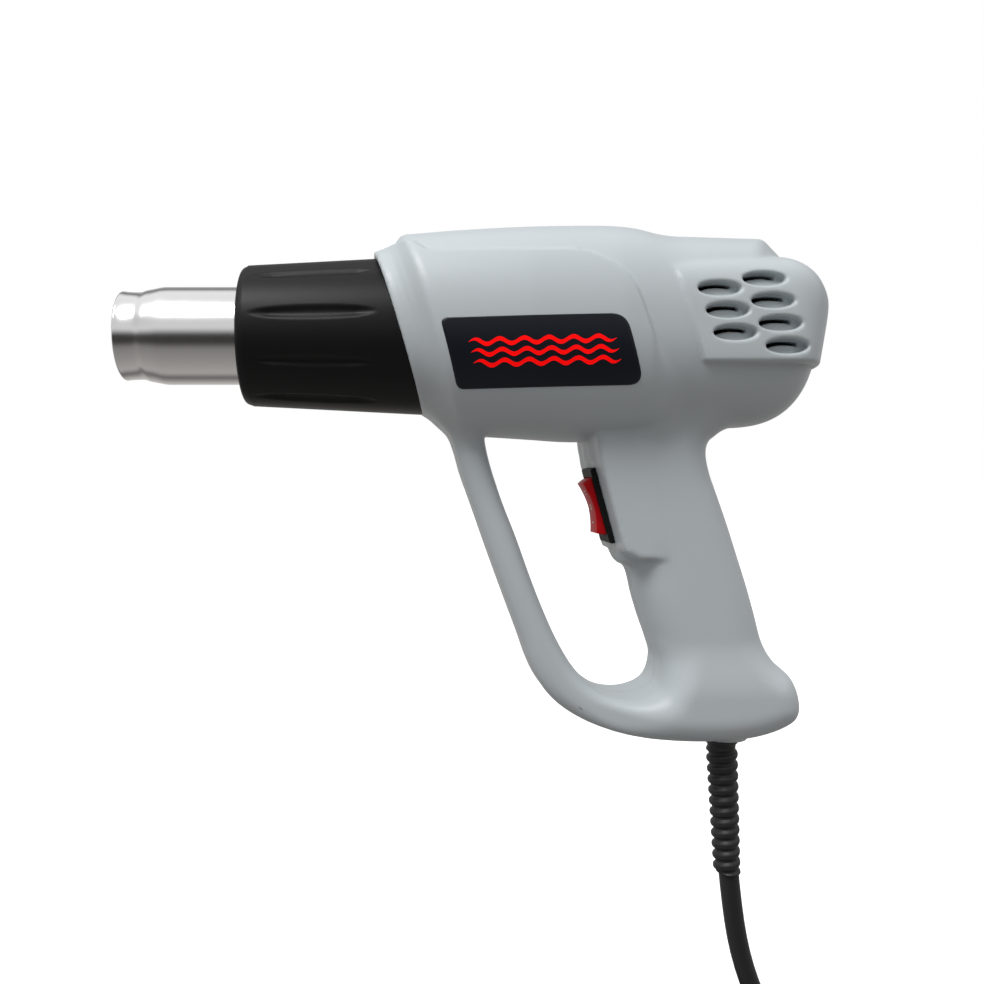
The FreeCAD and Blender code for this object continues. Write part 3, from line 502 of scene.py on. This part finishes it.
def drawn_to_skin(points, side):
    """Move points along the field's slope on to its zero level."""
    x, y, z = points.T
    flat, block = flat_distances(x, z)
    here = shell_field(x, side * -y, z, flat, block, side > 0)
    slope = np.zeros_like(points)
    tiny = 0.05
    slope[:, 1] = (shell_field(x, side * -(y + tiny), z, flat, block, side > 0) - here) / tiny
    for k, (dx, dz) in ((0, (tiny, 0)), (2, (0, tiny))):
        flat, block = flat_distances(x + dx, z + dz)
        there = shell_field(x + dx, side * -y, z + dz, flat, block, side > 0)
        slope[:, k] = (there - here) / tiny
    size = np.maximum((slope ** 2).sum(axis=1), 0.2)
    step = np.clip(here / size, -0.3, 0.3)
    return points - slope * step[:, None]


def half_shell(name, side):
    """One half of the clamshell as an object; side is -1 for the left and 1 for the right."""
    fine = GRID
    xs = spaced(-114.0, 51.0, 2 * fine, fine, -7.0, 29.5)
    ys = spaced(-40.0, 3.0, 2 * fine, 1.2 * fine, -37.0, -30.0)
    zs = spaced(-66.0, 122.5, 2 * fine, fine, 69.5, 98.0)
    flat, block = flat_distances(*np.meshgrid(xs, zs, indexing="ij"))
    x, y, z = np.meshgrid(xs, ys, zs, indexing="ij")
    field = shell_field(x, side * -y, z, flat[:, None, :], block[:, None, :], side > 0)
    points, quads = surface_nets(field.astype(np.float32), (xs, ys, zs))
    for _ in range(2):
        points = drawn_to_skin(points, side)
    if side > 0:
        points[:, 1] *= -1
        quads = quads[:, ::-1]
    mesh = mesh_from(name, points, quads.tolist())
    work = bmesh.new()
    work.from_mesh(mesh)
    everything = work.verts[:] + work.edges[:] + work.faces[:]
    cut = bmesh.ops.bisect_plane(work, geom=everything, plane_co=(0, side * SEAM_GAP * MM, 0),
                                 plane_no=(0, -side, 0), clear_outer=True)
    edges = [g for g in cut["geom_cut"] if isinstance(g, bmesh.types.BMEdge)]
    made = bmesh.ops.triangle_fill(work, edges=edges, use_beauty=True, use_dissolve=False)
    closing = [g for g in made["geom"] if isinstance(g, bmesh.types.BMFace)]
    centres = np.array([face.calc_center_median() for face in closing]) / MM
    flat, block = flat_distances(centres[:, 0], centres[:, 2])
    depth = shell_field(centres[:, 0], centres[:, 1], centres[:, 2], flat, block, side > 0)
    for face in closing:
        face.smooth = False
    # The filling also spans the finger opening and the hollow inside, and must not close them.
    in_the_open = [face for face, value in zip(closing, depth) if value > 0.3]
    bmesh.ops.delete(work, geom=in_the_open, context="FACES_ONLY")
    bmesh.ops.recalc_face_normals(work, faces=work.faces[:])
    work.to_mesh(mesh)
    work.free()
    piece = new_object(name, mesh, "housing_plastic")
    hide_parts(name.replace("shell", "housing"))
    return piece


# ---- turned pieces -----------------------------------------------------------------
def lathe(name, profile, count=128, flutes=None, drop=0.0):
    """Turn a closed profile of (x, r) about the air axis, or a line drop mm below it.

    flutes(x, r, angle) returns the x and r that a point is moved to.
    """
    profile = np.asarray(profile, float)
    points = []
    for i in range(count):
        angle = 2 * pi * i / count
        for x, r in profile:
            if flutes:
                x, r = flutes(x, r, angle)
            points.append((x, r * cos(angle), AXIS_Z - drop + r * sin(angle)))
    return mesh_from(name, points, quads_between(count, len(profile), closed=True))


def arc_points(cx, cr, radius, start, stop, steps=6):
    """Points (x, r) along an arc, from angle start to stop in degrees."""
    angles = [radians(start + (stop - start) * i / steps) for i in range(steps + 1)]
    return [(cx + radius * cos(a), cr + radius * sin(a)) for a in angles]


SHIELD_FRONT_X = -158.0
SHIELD_FRONT_R = 25.05
SHIELD_REAR_R = 27.85
SHIELD_BORE_R = 18.3
SHIELD_DROP = 0.45       # how far the shown pieces sit below the air axis
NOZZLE_DROP = 0.3
NOZZLE_R = 17.5
NOZZLE_REAR_X = -114.0

FLUTES = 10
FLUTE_MIDDLE_X = -131.5
FLUTE_HALF_LENGTH = 22.0
FLUTE_HALF_ANGLE = 0.0992
FLUTE_DEPTH = 0.95


def make_shield():
    """Black heat shield with lens-shaped flutes, a rounded front rim and a slanted rear edge."""
    front = SHIELD_FRONT_X
    front_r = SHIELD_FRONT_R
    slope = (SHIELD_REAR_R - front_r) / (MOUTH_X - front)
    lean = sin(radians(MOUTH_LEAN)) / cos(radians(MOUTH_LEAN))
    pitch = 2 * pi / FLUTES
    profile = [(front + 2.5, SHIELD_BORE_R), (front + 0.4, SHIELD_BORE_R),
               (front, SHIELD_BORE_R + 0.5), (front, front_r - 2.4)]
    profile += arc_points(front + 2.0, front_r - 2.3, 2.0, 180, 98, 8)
    profile += [(x, front_r + slope * (x - front)) for x in np.linspace(front + 2.6, MOUTH_X, 96)]
    profile += [(MOUTH_X + 0.5, 27.1), (MOUTH_X + 0.6, 25.5), (-84.0, 25.5), (-84.0, 23.6),
                (-125.0, 23.5), (front + 2.5, 22.6)]

    def flutes(x, r, angle):
        if x < MOUTH_X + 1 and r > 23.9 and x > front + 2.2:
            share = (x - front) / (MOUTH_X - front)
            rear_edge = MOUTH_X - lean * r * sin(angle) - 0.15
            step_in = 1.5 if r < 26.0 and share > 0.999 else 0.0
            x = front + (rear_edge - front) * share
            r = front_r + slope * (x - front) - step_in
            offset = (angle - radians(9)) % pitch - pitch / 2
            along = (x - FLUTE_MIDDLE_X) / FLUTE_HALF_LENGTH
            if abs(along) < 1:
                half = FLUTE_HALF_ANGLE * sqrt(1 - along * along)
                if abs(offset) < half:
                    t = abs(offset) / half
                    r -= FLUTE_DEPTH * (1 - t * t) ** 1.5 * min(1.0, 3 * (1 - abs(along)))
        return x, r

    mesh = lathe("shield", profile, 320, flutes, drop=SHIELD_DROP)
    piece = new_object("shield", mesh, "shield_plastic")
    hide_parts("heat_shield")
    return piece


def make_nozzle():
    """Polished steel tube with a rolled lip and a necked tip."""
    profile = [(-201.8, 14.9)]
    profile += arc_points(-201.1, 15.25, 0.75, 200, 60, 8)
    profile += [(-199.0, 15.75), (-196.5, 15.65), (-194.6, 15.7), (-193.6, 15.95), (-192.6, 16.35),
                (-191.4, 16.6), (-189.6, 16.9), (-187.8, 17.3), (-186.0, NOZZLE_R),
                (-183.0, NOZZLE_R), (-172.0, NOZZLE_R), (-160.0, NOZZLE_R),
                (NOZZLE_REAR_X, NOZZLE_R), (NOZZLE_REAR_X, NOZZLE_R - 0.65), (-186.0, 16.8),
                (-193.0, 14.9)]
    piece = new_object("nozzle", lathe("nozzle", profile, 192, drop=NOZZLE_DROP), "nozzle_steel")
    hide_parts("nozzle_tube")
    return piece


def make_boot():
    """Strain relief: a collar at the base, then a spiral rib round the cord."""
    lean = atan2(CORD_ROUTE[2][0] - CORD_ROUTE[0][0], CORD_ROUTE[0][1] - CORD_ROUTE[2][1])
    top = Vector((14.25, 0, -57.4))
    down = Vector((sin(lean), 0, -cos(lean)))
    side = Vector((cos(lean), 0, sin(lean)))
    steps = 230
    count = 48
    points = []
    for i in range(steps + 1):
        d = BOOT_LENGTH * i / steps
        for j in range(count):
            angle = 2 * pi * j / count
            neck = 6.4 - 1.6 * float(smoothstep(np.float64(d), 7.0, 9.6))
            rib = 5.5 - 0.8 * max(0.0, (d - 11) / 44)
            turn = ((d - 10.4) / RIB_PITCH + angle / (2 * pi)) % 1.0
            bulge = max(0.0, 1 - ((turn - 0.5) / 0.36) ** 2) ** 0.5
            share = float(smoothstep(np.float64(d), 9.4, 11.6))
            r = neck * (1 - share) + (rib - RIB_RISE + RIB_RISE * bulge) * share
            p = top + down * d + side * (r * cos(angle)) + Vector((0, r * sin(angle), 0))
            points.append(tuple(p))
    faces = quads_between(steps + 1, count)
    faces.append(tuple(range(count))[::-1])
    faces.append(tuple(steps * count + j for j in range(count)))
    mesh = mesh_from("boot", points, faces)
    piece = new_object("boot", mesh, "boot_rubber")
    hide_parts("cord_boot")
    return piece


# ---- switch --------------------------------------------------------------------------
def switch_frame():
    """Local axes of the switch: depth into the block, across, and up along its face."""
    lean = radians(SWITCH_LEAN)
    return Matrix(((cos(lean), 0, -sin(lean), SWITCH_X), (0, 1, 0, 0),
                   (sin(lean), 0, cos(lean), SWITCH_Z), (0, 0, 0, 1)))


def rocker_face(up):
    """Depth of the rocker's hollow face at a height along it."""
    tip = sqrt(ROCKER_R ** 2 - (ROCKER_RISE + ROCKER_PIVOT_DEPTH) ** 2)
    return -ROCKER_DIP - (ROCKER_RISE - ROCKER_DIP) * (abs(up) / tip) ** 1.7


def make_rocker():
    """Red rocker with a hollow face and rounded long edges."""
    tip = sqrt(ROCKER_R ** 2 - (ROCKER_RISE + ROCKER_PIVOT_DEPTH) ** 2)
    outline = [(rocker_face(tip * (1 - i / 12)), tip * (1 - i / 12)) for i in range(25)]
    start = degrees(atan2(-tip, -ROCKER_RISE - ROCKER_PIVOT_DEPTH))
    for i in range(1, 8):
        a = radians(start + (-52 - start) * i / 8)
        outline.append((ROCKER_PIVOT_DEPTH + ROCKER_R * cos(a), ROCKER_R * sin(a)))
    outline += [(9.3, -6.0), (9.3, 6.0)]
    for i in range(1, 8):
        a = radians(52 + (-start - 52) * i / 8)
        outline.append((ROCKER_PIVOT_DEPTH + ROCKER_R * cos(a), ROCKER_R * sin(a)))
    place = switch_frame()
    n = len(outline)
    levels = [(-ROCKER_HALF_WIDTH, 0.45), (-ROCKER_HALF_WIDTH + 0.14, 0.14),
              (-ROCKER_HALF_WIDTH + 0.45, 0.0), (ROCKER_HALF_WIDTH - 0.45, 0.0),
              (ROCKER_HALF_WIDTH - 0.14, 0.14), (ROCKER_HALF_WIDTH, 0.45)]
    points = []
    for across, drop in levels:
        for depth, up in outline:
            scale = 1 - drop / ROCKER_R
            inward = ROCKER_PIVOT_DEPTH + 1.5
            points.append(tuple(place @ Vector((inward + (depth - inward) * scale, across,
                                                up * scale))))
    faces = [tuple(range(n))[::-1], tuple((len(levels) - 1) * n + k for k in range(n))]
    faces += quads_between(len(levels), n)
    mesh = mesh_from("rocker_key", points, faces)
    mesh.shade_smooth()
    work = bmesh.new()
    work.from_mesh(mesh)
    bmesh.ops.recalc_face_normals(work, faces=work.faces[:])
    for edge in work.edges:
        if len(edge.link_faces) == 2 and edge.calc_face_angle(0) > radians(40):
            edge.smooth = False
    work.to_mesh(mesh)
    work.free()
    piece = new_object("rocker_key", mesh, "red_plastic", "rocker")
    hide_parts("switch_rocker")
    return piece


def make_rocker_marks():
    """White position marks on the rocker: one bar, a ring and two bars."""
    place = switch_frame()
    points = []
    faces = []

    def bar(across, up, half_across, half_up):
        start = len(points)
        for c, u in ((-1, -1), (1, -1), (1, 1), (-1, 1)):
            height = up + u * half_up
            points.append(tuple(place @ Vector((rocker_face(height) - 0.06,
                                                across + c * half_across, height))))
        faces.append((start, start + 1, start + 2, start + 3))

    bar(0.0, -5.6, 0.9, 0.22)
    bar(0.0, 4.9, 0.9, 0.22)
    bar(0.0, 6.1, 0.9, 0.22)
    for i in range(16):
        a = 2 * pi * i / 16
        b = 2 * pi * (i + 1) / 16
        start = len(points)
        for radius, angle in ((0.75, a), (1.1, a), (1.1, b), (0.75, b)):
            up = radius * sin(angle)
            points.append(tuple(place @ Vector((rocker_face(up) - 0.06, radius * cos(angle), up))))
        faces.append((start, start + 1, start + 2, start + 3))
    mesh = mesh_from("rocker_marks", points, faces, smooth=False)
    return new_object("rocker_marks", mesh, "label", "rocker")


# ---- label -----------------------------------------------------------------------------
LABEL_CORNERS = [(-89.6, 80.9), (-30.6, 82.3), (-23.4, 60.0), (-83.6, 58.7)]
LABEL_ROUNDING = [2.4, 5.0, 5.0, 2.4]


def skin_depth(x, z):
    """How far out in Y the housing's skin is at x, z, found by halving."""
    x = np.asarray(x, float)
    z = np.asarray(z, float)
    low = np.full(x.shape, 20.0)
    high = np.full(x.shape, 45.0)
    flat, block = flat_distances(x, z)
    for _ in range(26):
        mid = (low + high) / 2
        outside = outer_field(x, mid, z, flat, block) > 0
        high = np.where(outside, mid, high)
        low = np.where(outside, low, mid)
    return (low + high) / 2


def label_outline():
    """Rounded parallelogram, as a list of (x, z)."""
    corners = np.array(LABEL_CORNERS)
    loop = []
    for i in range(4):
        before = corners[i - 1] - corners[i]
        after = corners[(i + 1) % 4] - corners[i]
        before = before / hypot(*before)
        after = after / hypot(*after)
        reach = LABEL_ROUNDING[i]
        for t in np.linspace(0, 1, 9):
            start = corners[i] + before * reach
            end = corners[i] + after * reach
            loop.append((1 - t) ** 2 * start + 2 * t * (1 - t) * corners[i] + t * t * end)
    return np.array(loop)


def make_label(name, side, node):
    """Dark plate that follows the housing's curve, as rings shrinking to its middle."""
    loop = label_outline()
    dense = []
    for a, b in zip(loop, np.roll(loop, -1, axis=0)):
        count = max(1, int(hypot(*(b - a)) / 1.5))
        dense += [a + (b - a) * k / count for k in range(count)]
    dense = np.array(dense)
    middle = dense.mean(axis=0)
    n = len(dense)
    rings = [1.0, 0.992] + list(np.linspace(0.96, 0.04, 14))
    points = []
    for i, share in enumerate(rings):
        place = middle + (dense - middle) * share
        depth = skin_depth(place[:, 0], place[:, 1]) + (0.05 if i == 0 else LABEL_LIFT)
        points += list(zip(place[:, 0], side * depth, place[:, 1]))
    depth = float(skin_depth(middle[0], middle[1])) + LABEL_LIFT
    points.append((middle[0], side * depth, middle[1]))
    faces = quads_between(len(rings), n)
    last = (len(rings) - 1) * n
    faces += [(last + k, last + (k + 1) % n, len(points) - 1) for k in range(n)]
    if side < 0:
        faces = [face[::-1] for face in faces]
    piece = new_object(name, mesh_from(name, points, faces), "label")
    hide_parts(node)
    return piece


WAVE_START_X = -80.5
WAVE_LENGTH = 47.0
WAVE_TOP_Z = 73.2
WAVE_SPACING = 3.3
WAVES = 6                # crests in each line
WAVE_HEIGHT = 0.8
WAVE_HALF_THICK = 0.68


def make_label_mark(name, side):
    """Generic sign for hot air on the plate: three parallel waves in red."""
    count = 150
    points = []
    faces = []
    for row in range(3):
        start = len(points)
        for i in range(count + 1):
            u = i / count
            x = WAVE_START_X + WAVE_LENGTH * u + 0.9 * row
            centre = (WAVE_TOP_Z - WAVE_SPACING * row + 1.2 * u
                      + WAVE_HEIGHT * sin(u * 2 * pi * WAVES))
            half = WAVE_HALF_THICK * min(1.0, 12 * u + 0.15, 12 * (1 - u) + 0.15)
            pair_z = np.array([centre - half, centre + half])
            depth = skin_depth(np.array([x, x]), pair_z) + LABEL_LIFT + 0.06
            points.append((x, side * depth[0], pair_z[0]))
            points.append((x, side * depth[1], pair_z[1]))
        for i in range(count):
            a = start + 2 * i
            face = (a, a + 2, a + 3, a + 1)
            faces.append(face if side < 0 else face[::-1])
    return new_object(name, mesh_from(name, points, faces), "label")


# ---- cord --------------------------------------------------------------------------------
def coil_points():
    """The hank's line: outer turns towards +Y, inner turns back, then out to the tail."""
    join = radians(COIL_JOIN)
    per_turn = 18
    stretch = 1.0 / cos(pi / per_turn) ** 0.9    # the curve runs inside its control points
    points = []
    outer = int(COIL_TURNS_OUT * per_turn)
    inner_turns = 3 + COIL_JOIN / 360
    inner = int(round(inner_turns * per_turn))
    for i in range(1, outer + inner + 1):
        if i <= outer:
            share = i / outer
            angle = join - 2 * pi * COIL_TURNS_OUT * share
            r = COIL_OUTER_R
            turn = share * COIL_TURNS_OUT
            y = COIL_STEP_Y * min(3.0, max(0.0, turn - 0.25) * 3.0 / 3.5)
        else:
            done = (i - outer) / per_turn
            angle = join - 2 * pi * (COIL_TURNS_OUT + done)
            r = COIL_OUTER_R + (COIL_INNER_R - COIL_OUTER_R) * min(1.0, done / 0.5)
            y = 3 * COIL_STEP_Y - COIL_STEP_Y * max(0.0, done - 0.5)
            left = inner_turns - done
            if left < 0.5:
                y = y + (TAIL_Y - y) * (1 - left / 0.5) ** 1.5
        points.append((COIL_X + r * stretch * cos(angle), y, COIL_Z + r * stretch * sin(angle)))
    return points


def make_cord():
    """One NURBS line from the boot through the hank to the plug."""
    line = [(14.45, 0.0, -59.0)] + [(x, 0.0, z) for x, z in CORD_ROUTE[1:-1]]
    line.append((47.2, 0.0, -188.0))
    line += coil_points()
    line += [(x, TAIL_Y, z) for x, z in TAIL_POINTS]
    curve = bpy.data.curves.new("cord", "CURVE")
    curve.dimensions = "3D"
    curve.bevel_depth = 1.0
    curve.bevel_resolution = 5
    curve.use_fill_caps = True
    spline = curve.splines.new("NURBS")
    spline.points.add(len(line) - 1)
    for point, place in zip(spline.points, line):
        point.co = (place[0] * MM, place[1] * MM, place[2] * MM, 1.0)
        point.radius = CORD_D / 2 * MM
    spline.order_u = 3
    spline.use_endpoint_u = True
    spline.resolution_u = 5
    piece = new_object("cord", curve, "cord_rubber")
    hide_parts("mains_cord", "cord_coil", "cord_tail")
    return piece


cord = make_cord()
boot = make_boot()


# ---- make the other pieces --------------------------------------------------------------
left_shell = half_shell("shell_left", -1)
right_shell = half_shell("shell_right", 1)
shield = make_shield()
nozzle = make_nozzle()
rocker = make_rocker()
rocker_marks = make_rocker_marks()
label_left = make_label("label_left", -1, "side_label_left")
label_right = make_label("label_right", 1, "side_label_right")
mark_left = make_label_mark("label_mark_left", -1)
mark_right = make_label_mark("label_mark_right", 1)


# ---- finishes ------------------------------------------------------------------------------
def finish_material(name, colour, metallic=0.0, roughness=0.5, grain=0.0, grain_scale=900.0,
                    specular=0.5, mottled=0.0):
    """One colour with a fine procedural grain: as bump, as uneven roughness or both."""
    material = bpy.data.materials.new(name)
    material.use_nodes = True
    tree = material.node_tree
    shader = tree.nodes["Principled BSDF"]
    shader.inputs["Base Color"].default_value = (*colour, 1)
    shader.inputs["Metallic"].default_value = metallic
    shader.inputs["Roughness"].default_value = roughness
    shader.inputs["Specular IOR Level"].default_value = specular
    place = tree.nodes.new("ShaderNodeTexCoord")
    noise = tree.nodes.new("ShaderNodeTexNoise")
    noise.inputs["Scale"].default_value = grain_scale
    noise.inputs["Detail"].default_value = 3.0
    tree.links.new(place.outputs["Object"], noise.inputs["Vector"])
    if grain:
        bump = tree.nodes.new("ShaderNodeBump")
        bump.inputs["Strength"].default_value = grain
        bump.inputs["Distance"].default_value = 0.0002
        tree.links.new(noise.outputs["Fac"], bump.inputs["Height"])
        tree.links.new(bump.outputs["Normal"], shader.inputs["Normal"])
    if mottled:
        ramp = tree.nodes.new("ShaderNodeMapRange")
        ramp.inputs["To Min"].default_value = roughness - mottled
        ramp.inputs["To Max"].default_value = roughness + mottled
        tree.links.new(noise.outputs["Fac"], ramp.inputs["Value"])
        tree.links.new(ramp.outputs["Result"], shader.inputs["Roughness"])
    return material


FINISHES = {
    "housing_plastic": finish_material("housing_plastic", (0.475, 0.515, 0.535), roughness=0.42,
                                       grain=0.12, grain_scale=1500.0, specular=0.45),
    "shield_plastic": finish_material("shield_plastic", (0.007, 0.007, 0.0073), roughness=0.42,
                                      grain=0.15, grain_scale=1800.0, specular=0.17),
    "nozzle_steel": finish_material("nozzle_steel", (0.78, 0.78, 0.78), 1.0, 0.2, mottled=0.02,
                                    grain_scale=300.0),
    "zinc_steel": finish_material("zinc_steel", (0.56, 0.56, 0.55), 1.0, 0.34, mottled=0.05),
    "ceramic": finish_material("ceramic", (0.70, 0.64, 0.52), roughness=0.75, grain=0.3),
    "mica": finish_material("mica", (0.55, 0.47, 0.33), roughness=0.4, mottled=0.1),
    "heating_wire": finish_material("heating_wire", (0.33, 0.31, 0.29), 1.0, 0.45, mottled=0.08),
    "duct_plastic": finish_material("duct_plastic", (0.03, 0.03, 0.032), roughness=0.5, grain=0.1),
    "fan_plastic": finish_material("fan_plastic", (0.04, 0.04, 0.045), roughness=0.45, grain=0.1),
    "motor_steel": finish_material("motor_steel", (0.50, 0.50, 0.51), 1.0, 0.33, mottled=0.05),
    "bronze": finish_material("bronze", (0.45, 0.28, 0.12), 1.0, 0.4, mottled=0.06),
    "magnet": finish_material("magnet", (0.05, 0.05, 0.055), 0.2, 0.6, grain=0.2),
    "laminations": finish_material("laminations", (0.30, 0.30, 0.31), 1.0, 0.5, mottled=0.08),
    "copper": finish_material("copper", (0.72, 0.28, 0.13), 1.0, 0.35, mottled=0.06),
    "carbon": finish_material("carbon", (0.02, 0.02, 0.02), roughness=0.7, grain=0.2),
    "board": finish_material("board", (0.30, 0.20, 0.07), roughness=0.55, grain=0.1),
    "black_plastic": finish_material("black_plastic", (0.010, 0.011, 0.011), roughness=0.5,
                                     grain=0.08, specular=0.08),
    "red_plastic": finish_material("red_plastic", (0.56, 0.006, 0.010), roughness=0.42, grain=0.03,
                                   specular=0.10),
    "brass": finish_material("brass", (0.72, 0.52, 0.22), 1.0, 0.3, mottled=0.05),
    "film_capacitor": finish_material("film_capacitor", (0.55, 0.35, 0.05), roughness=0.4,
                                      grain=0.05),
    "terminal_plastic": finish_material("terminal_plastic", (0.75, 0.74, 0.70), roughness=0.5,
                                        grain=0.05),
    "wire_sleeve": finish_material("wire_sleeve", (0.60, 0.58, 0.52), roughness=0.6, grain=0.3),
    "label": finish_material("label", (0.0035, 0.0060, 0.0115), roughness=0.42, grain=0.02,
                             specular=0.3),
    "boot_rubber": finish_material("boot_rubber", (0.010, 0.010, 0.011), roughness=0.5, grain=0.15),
    "cord_rubber": finish_material("cord_rubber", (0.011, 0.011, 0.012), roughness=0.48,
                                   grain=0.15),
    "tie_plastic": finish_material("tie_plastic", (0.015, 0.015, 0.015), roughness=0.5, grain=0.1),
    "plug_plastic": finish_material("plug_plastic", (0.012, 0.012, 0.013), roughness=0.42,
                                    grain=0.1),
    "plug_metal": finish_material("plug_metal", (0.62, 0.60, 0.56), 1.0, 0.25, mottled=0.04),
}
# The red print also glows faintly through emission, which is painted light that makes it brighter
# than the lamps light it.
MARK_RED = finish_material("mark_red", (1.0, 0.0, 0.0), roughness=0.5, grain=0.01, specular=0.2)
red_glow_shader = MARK_RED.node_tree.nodes["Principled BSDF"]
red_glow_shader.inputs["Emission Color"].default_value = (1, 0, 0, 1)
red_glow_shader.inputs["Emission Strength"].default_value = 0.35
MARK_WHITE = finish_material("mark_white", (0.75, 0.75, 0.75), roughness=0.5, grain=0.01)

slot_of_node = {}
for entry in frame["record"]["materials"]:
    for node in entry.get("nodes", []):
        slot_of_node[node] = entry["slot"]


def paint(piece, material):
    """Give a piece one material in place of what it had."""
    piece.data.materials.clear()
    piece.data.materials.append(material)


def plain_slot(name):
    """The slot a CAD node's own material belongs to."""
    if name in slot_of_node:
        return slot_of_node[name]
    for material in nodes[name].data.materials:
        for key in FINISHES:
            if material and material.name.startswith(key):
                return key
    return "black_plastic"


for node_name, node in nodes.items():
    paint(node, FINISHES[plain_slot(node_name)])

for piece in (left_shell, right_shell, shield, nozzle, rocker, label_left, label_right, boot, cord):
    paint(piece, FINISHES[piece["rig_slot"]])
for piece in (mark_left, mark_right):
    paint(piece, MARK_RED)
paint(rocker_marks, MARK_WHITE)


# ---- studio ----------------------------------------------------------------------------------
def make_floor():
    """A wide pale floor below the plug. It takes no part in reflections on the steel."""
    size = 30.0
    level = cad_box[0].z - 0.004
    mesh = bpy.data.meshes.new("floor")
    mesh.from_pydata([(-size, -size, level), (size, -size, level), (size, size, level),
                      (-size, size, level)], [], [(0, 1, 2, 3)])
    floor = bpy.data.objects.new("floor", mesh)
    bpy.context.scene.collection.objects.link(floor)
    material = bpy.data.materials.new("floor")
    material.use_nodes = True
    shader = material.node_tree.nodes["Principled BSDF"]
    shader.inputs["Base Color"].default_value = (0.9, 0.9, 0.9, 1)
    shader.inputs["Roughness"].default_value = 0.9
    shader.inputs["Specular IOR Level"].default_value = 0.0
    shader.inputs["Emission Color"].default_value = (1, 1, 1, 1)
    shader.inputs["Emission Strength"].default_value = 0.6
    mesh.materials.append(material)
    floor.visible_glossy = False
    floor.visible_diffuse = False


def add_area(name, place, aim, size, power):
    """A rectangular light at a place, turned towards a point."""
    data = bpy.data.lights.new(name, "AREA")
    data.shape = "RECTANGLE"
    data.size = size[0]
    data.size_y = size[1]
    data.energy = power
    light = bpy.data.objects.new(name, data)
    light.location = place
    light.rotation_euler = (Vector(aim) - Vector(place)).to_track_quat("-Z", "Y").to_euler()
    bpy.context.scene.collection.objects.link(light)


# Light in the room by direction, as (degrees up from the gun's left side, level).
ROOM_LEVELS = [(-180, 0.85), (-150, 0.6), (-122, 0.16), (-105, 0.55), (-74, 0.42), (-38, 0.30),
               (-24, 0.05), (-5, 0.03), (10, 1.0), (26, 0.85), (44, 0.75), (70, 1.05),
               (116, 1.25), (132, 0.12), (150, 0.7), (180, 0.85)]
ROOM_WARMTH = 1.04       # of the light from below


def make_world():
    """White to the eye; for light and reflections a soft room: bright above, dim below."""
    world = bpy.data.worlds.new("studio")
    bpy.context.scene.world = world
    world.use_nodes = True
    tree = world.node_tree
    tree.nodes.clear()
    out = tree.nodes.new("ShaderNodeOutputWorld")
    mix = tree.nodes.new("ShaderNodeMixShader")
    seen = tree.nodes.new("ShaderNodeBackground")
    room = tree.nodes.new("ShaderNodeBackground")
    rays = tree.nodes.new("ShaderNodeLightPath")
    place = tree.nodes.new("ShaderNodeTexCoord")
    split = tree.nodes.new("ShaderNodeSeparateXYZ")
    ramp = tree.nodes.new("ShaderNodeValToRGB")
    front = tree.nodes.new("ShaderNodeMath")
    angle = tree.nodes.new("ShaderNodeMath")
    reach = tree.nodes.new("ShaderNodeMapRange")
    front.operation = "MULTIPLY"
    front.inputs[1].default_value = -1.0
    angle.operation = "ARCTAN2"
    seen.inputs["Color"].default_value = (1, 1, 1, 1)
    reach.inputs["From Min"].default_value = -pi
    reach.inputs["From Max"].default_value = pi
    while len(ramp.color_ramp.elements) < len(ROOM_LEVELS):
        ramp.color_ramp.elements.new(0.5)
    for element, (degrees_up, level) in zip(ramp.color_ramp.elements, ROOM_LEVELS):
        element.position = (degrees_up + 180) / 360
        warm = ROOM_WARMTH if degrees_up < 0 else 1.0
        element.color = (level * warm, level, level / warm, 1)
    links = tree.links
    links.new(place.outputs["Generated"], split.inputs["Vector"])
    links.new(split.outputs["Y"], front.inputs[0])
    links.new(split.outputs["Z"], angle.inputs[0])
    links.new(front.outputs[0], angle.inputs[1])
    links.new(angle.outputs[0], reach.inputs["Value"])
    links.new(reach.outputs["Result"], ramp.inputs["Fac"])
    links.new(ramp.outputs["Color"], room.inputs["Color"])
    links.new(rays.outputs["Is Camera Ray"], mix.inputs["Fac"])
    links.new(room.outputs["Background"], mix.inputs[1])
    links.new(seen.outputs["Background"], mix.inputs[2])
    links.new(mix.outputs["Shader"], out.inputs["Surface"])
    room.inputs["Strength"].default_value = 0.8


make_floor()
make_world()
add_area("key", (-0.50, -0.55, 0.90), (-0.05, 0, 0.05), (0.5, 0.4), 9.0)
bpy.context.scene.view_settings.view_transform = "Standard"
bpy.context.scene.view_settings.look = "None"
